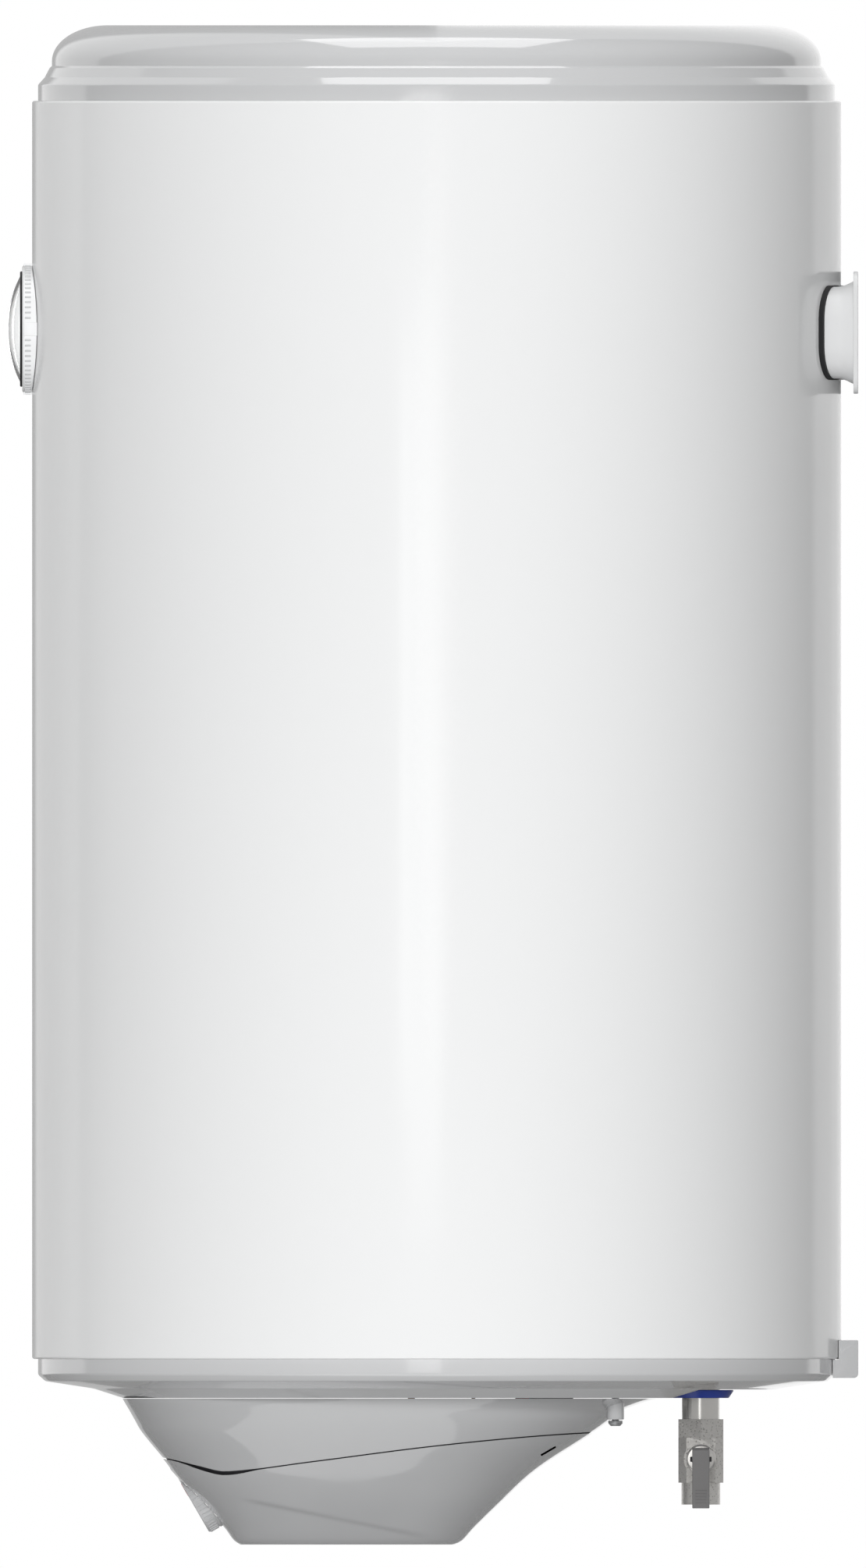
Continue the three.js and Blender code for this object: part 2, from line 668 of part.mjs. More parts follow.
function wallBracket() {
  const tank = spin([
    [0, BRACKET_Z - 60],
    [TANK_RADIUS + CLEARANCE, BRACKET_Z - 60],
    [TANK_RADIUS + CLEARANCE, BRACKET_Z + 60],
    [0, BRACKET_Z + 60],
  ]);
  const walls = cut(bracketSolid(0, 0), bracketSolid(-BRACKET_SHEET, -BRACKET_SHEET));
  const plate = extrude(roundedRectangle(...BRACKET_PLATE, 8), -WALL_Y, -WALL_Y + BRACKET_SHEET + 0.01)
    .rotateX(UP_TO_FRONT)
    .translate(0, 0, BRACKET_Z);
  const slots = [-HOOK_SPREAD, HOOK_SPREAD].map((x) =>
    extrude(roundedRectangle(...HOOK_SLOT, 6), -WALL_Y - 5, -WALL_Y + 8)
      .rotateX(UP_TO_FRONT)
      .translate(x, 0, BRACKET_Z),
  );
  return cut(join(walls, plate), tank, ...slots);
}

// Block clipped under the jacket's rear rim, which keeps the heater upright against the wall.
function rearSpacer() {
  const [low, high, round] = [-SPACER_HEIGHT / 2, SPACER_HEIGHT / 2, 2];
  const front = CAP_RADIUS - 12;
  const outline = [
    [front, low],
    [WALL_Y - round, low],
    [WALL_Y, low + round],
    [WALL_Y, high],
    [front, high],
  ];
  const jacket = rod(JACKET_RADIUS + CLEARANCE, -CLEARANCE, high + 5, BIG_SIDES);
  const cap = rod(CAP_RADIUS + CLEARANCE, low - 5, 0, BIG_SIDES);
  return cut(sideOutline(outline, SPACER_WIDTH / 2), jacket, cap);
}

// ---- Control cover under the heater ----

// Height, distance back from the front edge, distance forward from the rear edge, and share of the width.
const COVER_STATIONS = [
  [COVER_TOP, 0, 0, 1],
  [-25, 1.7, 10, 0.99],
  [-28.5, 3.8, 19, 0.975],
  [-34, 6.9, 26, 0.955],
  [-39.5, 10, 33.5, 0.93],
  [-47, 15.9, 45, 0.89],
  [-56.8, 24.1, 64.5, 0.83],
  [-65.8, 31, 74.5, 0.77],
  [-80, 45, 89, 0.66],
  [-94, 57.4, 102, 0.53],
  [-101, 62.6, 108.5, 0.45],
  [-103.2, 66, 112.5, 0.41],
];
const COVER_SQUARENESS = 2.5;

// One level outline of the cover: a superellipse between the front and the rear edge.
function coverRing([z, fromFront, fromRear, width], wall) {
  const front = -COVER_FRONT + fromFront + wall;
  const rear = COVER_REAR - fromRear - wall;
  const [middle, halfLength] = [(front + rear) / 2, (rear - front) / 2];
  const halfWidth = COVER_HALF_WIDTH * width - wall;
  const bend = (value) => Math.sign(value) * Math.abs(value) ** (2 / COVER_SQUARENESS);
  const count = 28;
  return Array.from({ length: count }, (_, i) => {
    const angle = (i * 2 * Math.PI) / count;
    const x = halfWidth * bend(Math.cos(angle));
    return new THREE.Vector3(x, middle + halfLength * bend(Math.sin(angle)), z);
  });
}

function coverSolid(wall) {
  const rings = COVER_STATIONS.map((station, i) => {
    const lift = i === 0 || i === COVER_STATIONS.length - 1 ? wall : 0;
    return coverRing([station[0] + lift, ...station.slice(1)], wall);
  });
  return loft(rings);
}

// The line where the two shells meet, as seen from the side, moved up or down.
function coverParting(shift, far) {
  const line = [
    [-COVER_FRONT - 20, -48],
    [-COVER_FRONT + 26, -55.7],
    [-COVER_FRONT + 43.7, -60],
    [-COVER_FRONT + 57.9, -62.8],
    [COVER_REAR - 192, -57.1],
    [COVER_REAR - 134, -49.6],
    [COVER_REAR - 88, -44.7],
    [COVER_REAR - 50, -41.7],
    [COVER_REAR + 20, -38],
  ];
  const moved = line.map(([y, z]) => [y, z + shift]);
  const ends = [[COVER_REAR + 20, far], [-COVER_FRONT - 20, far]];
  return sideOutline([...moved, ...ends], COVER_HALF_WIDTH + 20);
}

function lugPlaces() {
  return [-LUG_SPREAD, LUG_SPREAD].map((x) => [x, COVER_REAR - LUG_TO_REAR]);
}

function controlCoverSkirt() {
  const shell = cut(coverSolid(0), coverSolid(COVER_WALL));
  const upper = common(shell, coverParting(COVER_PARTING / 2, 0));
  const lugs = lugPlaces().map(([x, y]) => rod(LUG_RADIUS, LUG_END, COVER_TOP).translate(x, y, 0));
  const holes = lugPlaces().map(([x, y]) => rod(2.4, LUG_END - 1, COVER_TOP + 1).translate(x, y, 0));
  return cut(join(upper, ...lugs), ...holes);
}

// Moves a piece drawn round +Z, with z = 0 at the knob's face, to the knob's place on the cover.
function atKnob(geometry, x = 0) {
  return geometry
    .rotateX(UP_TO_FRONT + KNOB_TILT)
    .translate(x, -COVER_FRONT + KNOB_FACE_BACK, KNOB_FACE_Z);
}

const LAMP_X = -40;
const LAMP_RADIUS = 4;
const GROMMET_AT = [-28, -40];
const GROMMET_RADIUS = 6.7;
const CORD_BORE = 4;

function controlCoverBowl() {
  const shell = cut(coverSolid(0), coverSolid(COVER_WALL));
  const lower = common(shell, coverParting(-COVER_PARTING / 2, -120));
  const recessWall = atKnob(rod(RECESS_RADIUS + COVER_WALL, -RECESS_BACK, 20, MID_SIDES));
  const boss = common(recessWall, coverSolid(0), coverParting(-COVER_PARTING / 2, -120));
  const tools = [
    atKnob(rod(RECESS_RADIUS, -RECESS_DEPTH, 30, MID_SIDES)),
    atKnob(rod(SPINDLE_RADIUS + 0.6, -RECESS_BACK - 5, 0)),
    atKnob(rod(LAMP_RADIUS + CLEARANCE, -20, 30), LAMP_X),
    rod(GROMMET_RADIUS + CLEARANCE, -110, -95).translate(...GROMMET_AT, 0),
  ];
  return cut(join(lower, boss), ...tools);
}

function coverScrew([x, y]) {
  const head = rod(4, LUG_END - CLEARANCE - 3, LUG_END - CLEARANCE);
  const shank = rod(2, LUG_END - 1, -16);
  return join(head, shank).translate(x, y, 0);
}

function pilotLamp() {
  return common(atKnob(rod(LAMP_RADIUS, -14, 30), LAMP_X), coverSolid(-0.8));
}

function cordGrommet() {
  const floor = COVER_STATIONS.at(-1)[0];
  const inside = floor + COVER_WALL + CLEARANCE;
  const outline = [
    [CORD_BORE, floor + 0.2],
    [GROMMET_RADIUS, floor + 0.2],
    [GROMMET_RADIUS, inside],
    [GROMMET_RADIUS + 3, inside],
    [GROMMET_RADIUS + 3, inside + 2],
    [CORD_BORE, inside + 2],
  ];
  return spin(outline, SMALL_SIDES).translate(...GROMMET_AT, 0);
}

// ---- Thermostat and knob ----

function controlKnob() {
  const bore = rod(SPINDLE_RADIUS + CLEARANCE, -KNOB_DEPTH - 1, -KNOB_DEPTH + 5.6);
  const dish = rod(KNOB_RADIUS - 2.5, -4.5, 2, MID_SIDES);
  const grip = box([-5, 5], [-30, 30], [-6, 3]);
  return atKnob(cut(rod(KNOB_RADIUS, -KNOB_DEPTH, 0, MID_SIDES), bore, cut(dish, grip)));
}

function thermostatSpindle() {
  return atKnob(rod(SPINDLE_RADIUS, -RECESS_BACK - 8, -KNOB_DEPTH + 5));
}

function thermostatBody() {
  const [width, height, depth] = THERMOSTAT_SIZE;
  const front = -RECESS_BACK - CLEARANCE;
  const block = box([-width / 2, width / 2], [-height / 2, height / 2], [front - depth, front]);
  return atKnob(cut(block, rod(SPINDLE_RADIUS + CLEARANCE, front - 9, front + 1)));
}

// The sensing bulb in its pocket and the thin tube from it to the back of the thermostat.
function sensorCapillary() {
  const bulb = rod(POCKET_RADIUS - POCKET_WALL - 0.8, POCKET_TOP - 90, POCKET_TOP - 5, 8).translate(0, POCKET_Y, 0);
  const back = new THREE.Vector3(0, 0, -RECESS_BACK - THERMOSTAT_SIZE[2] - 1.5);
  back.applyAxisAngle(new THREE.Vector3(1, 0, 0), UP_TO_FRONT + KNOB_TILT);
  const [endY, endZ] = [back.y - COVER_FRONT + KNOB_FACE_BACK, back.z + KNOB_FACE_Z];
  const low = PLATE_BACK - 32;
  const points = [
    [0, POCKET_Y, POCKET_TOP - 88],
    [0, POCKET_Y, 60],
    [0, POCKET_Y, PLATE_BACK - 10],
    [0, POCKET_Y - 8, low + 6],
    [0, POCKET_Y - 30, low],
    [0, (POCKET_Y - 30 + endY) / 2, low - 2],
    [0, endY + 10, endZ + 6],
    [0, endY, endZ],
  ];
  return join(bulb, bar(points, 1, 30, 6));
}

// ---- Thermometer on the front ----

// Moves a piece drawn round +Z, with z measured from the tank's axis, to the front of the heater.
const atGauge = (geometry) => geometry.rotateX(UP_TO_FRONT).translate(0, 0, GAUGE_Z);

function gaugeHole(from, to) {
  return atGauge(rod(GAUGE_BARREL + 0.5, from, to, MID_SIDES));
}

const GAUGE_BACK = JACKET_RADIUS - GAUGE_DEPTH;
const LENS_SEAT = GAUGE_FACE - 3.7;
const DIAL_FACE = JACKET_RADIUS - 2;
const DIAL_SPINDLE = 1;

function gaugeHousing() {
  const seat = LENS_RADIUS + CLEARANCE;
  const bore = GAUGE_BARREL - 2;
  const flangeBack = JACKET_RADIUS - 8;
  const ring = spin([
    [GAUGE_BARREL - 1, flangeBack],
    [GAUGE_RADIUS, flangeBack],
    [GAUGE_RADIUS, GAUGE_FACE - 1],
    [GAUGE_RADIUS - 1, GAUGE_FACE],
    [seat, GAUGE_FACE],
    [seat, LENS_SEAT - CLEARANCE],
    [GAUGE_BARREL - 1, LENS_SEAT - CLEARANCE],
  ], MID_SIDES);
  const barrel = spin([
    [0, GAUGE_BACK],
    [GAUGE_BARREL, GAUGE_BACK],
    [GAUGE_BARREL, LENS_SEAT - CLEARANCE],
    [bore, LENS_SEAT - CLEARANCE],
    [bore, GAUGE_BACK + 2],
    [0, GAUGE_BACK + 2],
  ], MID_SIDES);
  const tall = [GAUGE_Z - 60, GAUGE_Z + 60];
  const jacket = rod(JACKET_RADIUS + CLEARANCE, ...tall, BIG_SIDES);
  return join(cut(atGauge(ring), jacket), atGauge(barrel));
}

function gaugeDial() {
  return atGauge(tube(GAUGE_BARREL - 2 - CLEARANCE, DIAL_SPINDLE + 0.4, DIAL_FACE - 1, DIAL_FACE, MID_SIDES));
}

// The needle points to the scale's cold end, down and to the left as seen from the front.
function gaugePointer() {
  const [low, high] = [DIAL_FACE + 0.6, DIAL_FACE + 1.4];
  const needle = extrude(
    new THREE.Shape([[-1.3, -6], [1.3, -6], [0.4, 21], [-0.4, 21]].map((point) => new THREE.Vector2(...point))),
    low,
    high,
  );
  const hub = rod(3, low, high + 0.8);
  const spindle = rod(DIAL_SPINDLE, GAUGE_BACK + 5, high, 8);
  return atGauge(join(needle, hub, spindle).rotateZ(THREE.MathUtils.degToRad(135)));
}

function gaugeLens() {
  const curve = (radius, rise) => {
    const ball = (radius * radius + rise * rise) / (2 * rise);
    return Array.from({ length: 5 }, (_, i) => {
      const across = (radius * i) / 4;
      return [across, GAUGE_FACE + rise - ball + Math.sqrt(ball * ball - across * across)];
    });
  };
  const outside = curve(LENS_RADIUS, LENS_RISE);
  const inside = curve(LENS_RADIUS - LENS_WALL, LENS_RISE - LENS_WALL);
  const [outer, inner] = [[LENS_RADIUS, LENS_SEAT], [LENS_RADIUS - LENS_WALL, LENS_SEAT]];
  return atGauge(spin([...outside, outer, inner, ...inside.toReversed()], MID_SIDES));
}

function gaugeProbe() {
  return atGauge(rod(3, TANK_RADIUS + CLEARANCE, GAUGE_BACK - CLEARANCE));
}

// ---- Safety valve on the cold pipe ----

// Moves a piece drawn round +Z to the valve's relief branch, with z measured from the pipe's axis.
const atBranch = (geometry) =>
  geometry.rotateY(UP_TO_RIGHT).translate(PIPE_SPREAD, PIPE_Y, BRANCH_Z);

const atColdPipe = (geometry) => geometry.translate(PIPE_SPREAD, PIPE_Y, 0);
const SEAT_X = 16;
const CHECK_SEAT_Z = -66;
const CHECK_GUIDE_Z = -47;
const SPOUT_END = -78;

function valveBody() {
  const hexagon = prism(VALVE_FLATS, 6, VALVE_HEX_END, VALVE_TOP);
  const octagon = prism(VALVE_FLATS, 8, VALVE_BODY_END, VALVE_HEX_END + 0.01, Math.PI / 8);
  const thread = rod(VALVE_THREAD_RADIUS, VALVE_END, VALVE_BODY_END + 0.01, MID_SIDES);
  const branch = atBranch(rod(BRANCH_RADIUS, 8, BRANCH_LENGTH, MID_SIDES));
  const spout = atColdPipe(rod(SPOUT_RADIUS, SPOUT_END, BRANCH_Z).translate(SPOUT_X, 0, 0));
  const bores = [
    atColdPipe(rod(PIPE_RADIUS + CLEARANCE, PIPE_END - 0.5, 0, MID_SIDES)),
    atColdPipe(rod(4.6, CHECK_GUIDE_Z - 1, PIPE_END)),
    atColdPipe(rod(PIPE_BORE, CHECK_SEAT_Z, CHECK_GUIDE_Z, MID_SIDES)),
    atColdPipe(rod(5.5, VALVE_BODY_END - 1, CHECK_SEAT_Z + 1)),
    atColdPipe(rod(PIPE_BORE, VALVE_END - 1, VALVE_BODY_END, MID_SIDES)),
    atBranch(rod(4, 0, SEAT_X + 1)),
    atBranch(rod(CHAMBER_RADIUS, SEAT_X, BRANCH_LENGTH + 1, MID_SIDES)),
    atColdPipe(rod(3, SPOUT_END - 1, BRANCH_Z).translate(SPOUT_X, 0, 0)),
  ];
  return cut(join(atColdPipe(join(hexagon, octagon, thread)), branch, spout), ...bores);
}

function valveBonnet() {
  const [low, high] = [BRANCH_LENGTH + CLEARANCE, BONNET_END];
  const outline = [
    [CHAMBER_RADIUS, low],
    [BONNET_RADIUS, low],
    [BONNET_RADIUS, high - 1],
    [BONNET_RADIUS - 1, high],
    [STEM_RADIUS + 0.4, high],
    [STEM_RADIUS + 0.4, high - 2.5],
    [CHAMBER_RADIUS, high - 2.5],
  ];
  return atBranch(spin(outline, MID_SIDES));
}

function reliefStem() {
  const disc = rod(6, SEAT_X + CLEARANCE, SEAT_X + 2.6, MID_SIDES);
  const shaft = rod(STEM_RADIUS, SEAT_X + 2, LEVER_PIN_X);
  const head = rod(3, -STEM_RADIUS, STEM_RADIUS).rotateX(UP_TO_FRONT).translate(0, 0, LEVER_PIN_X);
  const hole = rod(LEVER_PIN_RADIUS + CLEARANCE, -5, 5).rotateX(UP_TO_FRONT).translate(0, 0, LEVER_PIN_X);
  return atBranch(cut(join(disc, shaft, head), hole));
}

function reliefSpring() {
  return atBranch(spring(4.6, 0.7, SEAT_X + 2.9, BONNET_END - 2.8, 5));
}

function leverPin() {
  return atBranch(rod(LEVER_PIN_RADIUS, -6, 6).rotateX(UP_TO_FRONT).translate(0, 0, LEVER_PIN_X));
}

// Drawn in X and Z round its pin. The rounded heel presses on the bonnet as the lever swings up.
function valveLever() {
  const heel = quarterEllipse([0, 0], [-3.6, 6.4], 0, Math.PI / 2, 6);
  const outline = [...heel, [3.6, 6.4], [5, 5], [5, -5], [5.6, -LEVER_DROP], [2.8, -LEVER_DROP], [1.6, -9], [-3.2, -2.5]];
  const shape = new THREE.Shape(outline.map(([x, z]) => new THREE.Vector2(x, z)));
  const blank = extrude(shape, -LEVER_WIDTH / 2, LEVER_WIDTH / 2).rotateX(UP_TO_FRONT);
  const slot = box([-10, 3.4], [-STEM_RADIUS - 0.4, STEM_RADIUS + 0.4], [-3.4, 10]);
  const hole = rod(LEVER_PIN_RADIUS + CLEARANCE, -10, 10).rotateX(UP_TO_FRONT);
  return cut(blank, slot, hole).translate(PIPE_SPREAD + LEVER_PIN_X, PIPE_Y, BRANCH_Z);
}

function checkPoppet() {
  const disc = rod(7, CHECK_SEAT_Z + CLEARANCE, CHECK_SEAT_Z + 2.5, MID_SIDES);
  const guide = rod(1.5, CHECK_SEAT_Z + 2, CHECK_GUIDE_Z - 3, 8);
  return atColdPipe(join(disc, guide));
}

function checkSpring() {
  return atColdPipe(spring(5.2, 0.5, CHECK_SEAT_Z + 2.8, CHECK_GUIDE_Z - 0.3, 5));
}

// ---- Materials ----

function finish(color, roughness, metalness = 0) {
  return new THREE.MeshStandardMaterial({ color, roughness, metalness });
}

const FINISHES = {
  whiteEnamel: finish("#eceded", 0.3),
  greyPlastic: finish("#b9bbbd", 0.25),
  darkPlastic: finish("#646363", 0.45),
  blackPlastic: finish("#222326", 0.5),
  foam: finish("#e3cf8e", 0.9),
  tankSteel: finish("#3d5a78", 0.4),
  steel: finish("#a9abad", 0.35, 0.9),
  nickel: finish("#aeaca8", 0.3, 0.9),
  copper: finish("#b7703f", 0.35, 0.9),
  magnesium: finish("#8d8f92", 0.6, 0.6),
  rubber: finish("#1d1d1e", 0.8),
  blue: finish("#192c70", 0.4),
  red: finish("#a51f22", 0.4),
  bracketPaint: finish("#dcdddd", 0.4),
  dial: finish("#f7f7f5", 0.6),
  glass: finish("#dfe6ea", 0.05),
};

// ---- Assembly ----

const group = new THREE.Group();
group.position.set(0, -WALL_Y, -BRACKET_Z);

function add(name, geometry, material) {
  const mesh = new THREE.Mesh(toGeometry(toSolid(geometry)), FINISHES[material]);
  mesh.name = name;
  group.add(mesh);
}

add("outer_jacket", outerJacket(), "whiteEnamel");
add("top_cap", topCap(), "greyPlastic");
add("bottom_cap", bottomCap(), "greyPlastic");
add("insulation_foam", insulationFoam(), "foam");
add("tank_shell", tankShell(), "tankSteel");
add("tank_top_dome", tankTopDome(), "tankSteel");
add("tank_bottom_dome", tankBottomDome(), "tankSteel");

add("flange_collar", flangeCollar(), "steel");
add("flange_gasket", flangeGasket(), "rubber");
add("flange_plate", flangePlate(), "steel");
studPlaces().forEach((place, i) => {
  add(`flange_nut_${i + 1}`, nut(NUT_FLATS, NUT_HEIGHT, STUD_RADIUS + 0.4, place, NUT_TOP), "steel");
});
add("heating_element", heatingElement(), "copper");
add("sensor_pocket", sensorPocket(), "copper");
add("anode_rod", anodeRod(), "magnesium");
add("anode_nut", nut(10, 5, ANODE_STUD_RADIUS + 0.4, ANODE_AT, NUT_TOP), "steel");

add("carrier_plate", carrierPlate(), "steel");
add("carrier_nut", nut(NUT_FLATS, NUT_HEIGHT, STUD_RADIUS + 0.4, studPlaces()[0], BLOCK_TOP), "steel");
add("terminal_block", terminalBlock(), "dial");
add("safety_cutout", safetyCutout(), "blackPlastic");
add("reset_button", resetButton(), "red");
add("neutral_lead", elementLead(-1, TERMINAL_Y[0]), "blue");
add("live_lead", elementLead(1, CUTOUT_Y[0]), "red");
add("bridge_lead", bridgeLead(), "red");

PIPE_SIDES.forEach((pipe) => add(`${pipe.name}_nipple`, nipple(pipe), "nickel"));
add("inlet_diffuser", inletDiffuser(), "dial");
add("outlet_standpipe", outletStandpipe(), "dial");
add("cold_ring", pipeRing(PIPE_SIDES[0]), "blue");
add("hot_ring", pipeRing(PIPE_SIDES[1]), "red");

add("wall_bracket", wallBracket(), "bracketPaint");
add("rear_spacer", rearSpacer(), "greyPlastic");

add("control_cover_skirt", controlCoverSkirt(), "greyPlastic");
add("control_cover_bowl", controlCoverBowl(), "greyPlastic");
lugPlaces().forEach((place, i) => add(`cover_screw_${i + 1}`, coverScrew(place), "steel"));
add("pilot_lamp", pilotLamp(), "red");
add("cord_grommet", cordGrommet(), "rubber");

add("control_knob", controlKnob(), "greyPlastic");
add("thermostat_spindle", thermostatSpindle(), "steel");
add("thermostat_body", thermostatBody(), "blackPlastic");
add("sensor_capillary", sensorCapillary(), "copper");

add("gauge_housing", gaugeHousing(), "greyPlastic");
add("gauge_dial", gaugeDial(), "dial");
add("gauge_pointer", gaugePointer(), "red");
add("gauge_lens", gaugeLens(), "glass");
add("gauge_probe", gaugeProbe(), "copper");

add("valve_body", valveBody(), "nickel");
add("valve_bonnet", valveBonnet(), "nickel");
add("relief_stem", reliefStem(), "nickel");
add("relief_spring", reliefSpring(), "steel");
add("valve_lever", valveLever(), "darkPlastic");
add("lever_pin", leverPin(), "steel");
add("check_poppet", checkPoppet(), "darkPlastic");
add("check_spring", checkSpring(), "steel");

export default group;
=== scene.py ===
import json
import math

import bmesh
import bpy
from bpy.props import FloatProperty, FloatVectorProperty, IntProperty, PointerProperty
from mathutils import Matrix, Vector


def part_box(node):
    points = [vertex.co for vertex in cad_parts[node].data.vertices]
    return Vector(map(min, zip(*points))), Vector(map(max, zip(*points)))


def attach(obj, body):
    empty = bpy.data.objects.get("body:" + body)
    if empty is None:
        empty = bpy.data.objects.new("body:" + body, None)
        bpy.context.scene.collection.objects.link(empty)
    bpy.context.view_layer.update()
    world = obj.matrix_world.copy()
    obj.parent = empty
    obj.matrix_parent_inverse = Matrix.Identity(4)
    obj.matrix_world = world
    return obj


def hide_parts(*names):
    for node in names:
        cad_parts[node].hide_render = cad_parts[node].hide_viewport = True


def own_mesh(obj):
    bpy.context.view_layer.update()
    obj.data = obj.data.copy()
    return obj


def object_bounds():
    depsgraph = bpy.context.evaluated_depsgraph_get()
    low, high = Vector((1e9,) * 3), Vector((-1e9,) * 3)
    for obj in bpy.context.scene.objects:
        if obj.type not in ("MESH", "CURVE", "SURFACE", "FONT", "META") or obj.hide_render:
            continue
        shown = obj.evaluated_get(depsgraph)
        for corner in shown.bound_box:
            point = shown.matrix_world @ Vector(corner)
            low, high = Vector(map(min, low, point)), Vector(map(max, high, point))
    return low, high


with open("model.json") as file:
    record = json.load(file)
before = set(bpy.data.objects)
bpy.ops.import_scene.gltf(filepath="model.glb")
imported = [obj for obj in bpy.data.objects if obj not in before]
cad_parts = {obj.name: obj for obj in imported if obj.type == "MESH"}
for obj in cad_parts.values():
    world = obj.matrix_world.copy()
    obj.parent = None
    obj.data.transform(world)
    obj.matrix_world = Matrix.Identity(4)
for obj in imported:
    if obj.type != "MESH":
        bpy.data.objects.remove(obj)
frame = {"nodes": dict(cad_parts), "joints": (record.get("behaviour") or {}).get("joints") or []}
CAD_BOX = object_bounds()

bl_info = {
    "name": "Wall-hung Water Heater",
    "version": (1, 0, 0),
    "blender": (4, 5, 0),
    "location": "3D View > Sidebar > Heater",
    "description": "Builds the outside and the finishes of a wall-hung electric storage water heater",
    "category": "Object",
}

MM = 0.001
TAU = 2 * math.pi


# ---- Places, worked out from the frame ----
# Every piece is drawn round the tank: its axis is x = y = 0 and z = 0 is the jacket's lower edge.


def corners(node):
    """The lowest and highest corner of a node, measured from the tank."""
    low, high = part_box(node)
    return low - TANK, high - TANK


def middle(node):
    low, high = corners(node)
    return (low + high) / 2


def joint(name):
    return next(each for each in frame["joints"] if each["name"] == name)


jacket_low, jacket_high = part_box("outer_jacket")
TANK = Vector((0, (jacket_low.y + jacket_high.y) / 2, jacket_low.z))
JACKET_RADIUS = (jacket_high.x - jacket_low.x) / 2
JACKET_HEIGHT = jacket_high.z - jacket_low.z

CAP_RADIUS = corners("top_cap")[1].x
TOP_RISE = corners("top_cap")[1].z - JACKET_HEIGHT
CAP_SKIRT = JACKET_HEIGHT - corners("top_cap")[0].z
BOTTOM_DROP = corners("bottom_cap")[0].z

BRACKET = middle("wall_bracket")
WALL_Y = corners("wall_bracket")[1].y
BRACKET_WIDTH = 2 * corners("wall_bracket")[1].x
BRACKET_HEIGHT = corners("wall_bracket")[1].z - corners("wall_bracket")[0].z
TANK_RADIUS = corners("tank_shell")[1].x

PIPE = middle("cold_nipple")
PIPE_RADIUS = (corners("cold_nipple")[1].x - corners("cold_nipple")[0].x) / 2
PIPE_END = corners("cold_nipple")[0].z
PIPE_TOP = corners("cold_nipple")[1].z
RING_LOW = corners("cold_ring")[0]
RING_HIGH = corners("cold_ring")[1]

COVER_TOP = corners("control_cover_skirt")[1].z
COVER_FRONT = corners("control_cover_skirt")[0].y
COVER_REAR = corners("control_cover_skirt")[1].y
COVER_HALF_WIDTH = corners("control_cover_skirt")[1].x
LUG = middle("cover_screw_2")
LUG_END = corners("cover_screw_2")[0].z

KNOB_FACE = Vector(joint("knob_turn")["pos_m"]) - TANK
KNOB_OUTWARD = -Vector(joint("knob_turn")["axis"])
KNOB_RADIUS = corners("control_knob")[1].x
LAMP_X = middle("pilot_lamp").x
LAMP_RADIUS = (corners("pilot_lamp")[1].x - corners("pilot_lamp")[0].x) / 2
GROMMET = middle("cord_grommet")

GAUGE_Z = middle("gauge_housing").z
GAUGE_RADIUS = corners("gauge_housing")[1].x
GAUGE_FACE = -corners("gauge_housing")[0].y
GAUGE_BACK = -corners("gauge_housing")[1].y
LENS_RADIUS = corners("gauge_lens")[1].x
LENS_TOP = -corners("gauge_lens")[0].y
LENS_SEAT = -corners("gauge_lens")[1].y
DIAL_FACE = -corners("gauge_dial")[0].y
DIAL_RADIUS = corners("gauge_dial")[1].x

VALVE_LOW, VALVE_HIGH = corners("valve_body")
LEVER_PIN = Vector(joint("lever_swing")["pos_m"]) - TANK
BRANCH_Z = LEVER_PIN.z
LEVER_LOW, LEVER_HIGH = corners("valve_lever")
BONNET_LOW, BONNET_HIGH = corners("valve_bonnet")


# ---- Sizes and colours that a user would change ----


def length(name, description, default):
    return FloatProperty(
        name=name, description=description, default=default, min=0, unit="LENGTH", precision=5
    )


def number(name, description, default, lowest):
    return IntProperty(name=name, description=description, default=default, min=lowest)


def colour(name, description, default):
    return FloatVectorProperty(
        name=name, description=description, default=default, size=3, min=0, max=1, subtype="COLOR"
    )


class HeaterCase(bpy.types.PropertyGroup):
    """Sizes of the jacket, the caps and the wall fixings."""

    jacket_wall: length("Jacket sheet", "Thickness of the painted steel sheet", 1 * MM)
    hem: length("Hem", "How far the jacket's rims turn inwards", 3 * MM)
    hem_bend: length("Hem bend", "Bending radius of both rims", 1.4 * MM)
    cap_wall: length("Cap wall", "Thickness of the plastic end caps", 2.5 * MM)
    bracket_sheet: length("Bracket sheet", "Thickness of the pressed wall bracket", 2.6 * MM)
    bracket_gap: length("Bracket gap", "Gap at the sides of the bracket in the jacket's cut-out", 3 * MM)
    opening_radius: length("Service opening", "Radius of the hole behind the control cover", 98 * MM)
    sides: number("Sides", "Facets round the big turned pieces", 288, 64)


class HeaterControls(bpy.types.PropertyGroup):
    """Sizes of the control cover, the knob and the thermometer."""

    cover_wall: length("Cover wall", "Thickness of the control cover", 2.5 * MM)
    parting: length("Parting gap", "Gap between the cover's two shells", 0.7 * MM)
    knob_dish: length("Knob dish", "Depth of the hollow in the knob's face", 4.5 * MM)
    knob_ribs: number("Knob ribs", "Ribs round the knob's rim", 44, 8)
    scale_marks: number("Scale marks", "Marks on the cover round the knob", 13, 3)
    gauge_ribs: number("Bezel ribs", "Ribs round the thermometer's bezel", 72, 8)
    dial_ticks: number("Dial ticks", "Fine ticks along the thermometer's scale", 46, 4)


class HeaterPlumbing(bpy.types.PropertyGroup):
    """Sizes of the pipes and the safety valve."""

    pipe_bore: length("Pipe bore", "Inner radius of the pipes", 8 * MM)
    thread_pitch: length("Thread pitch", "Pitch of the pipe threads", 1.814 * MM)
    thread_depth: length("Thread depth", "Height of the thread's ridge", 0.75 * MM)
    valve_chamfer: length("Valve chamfer", "Width of the flats at the valve block's corners", 4.4 * MM)
    coil_turns: number("Spring turns", "Turns of the valve's springs", 6, 2)


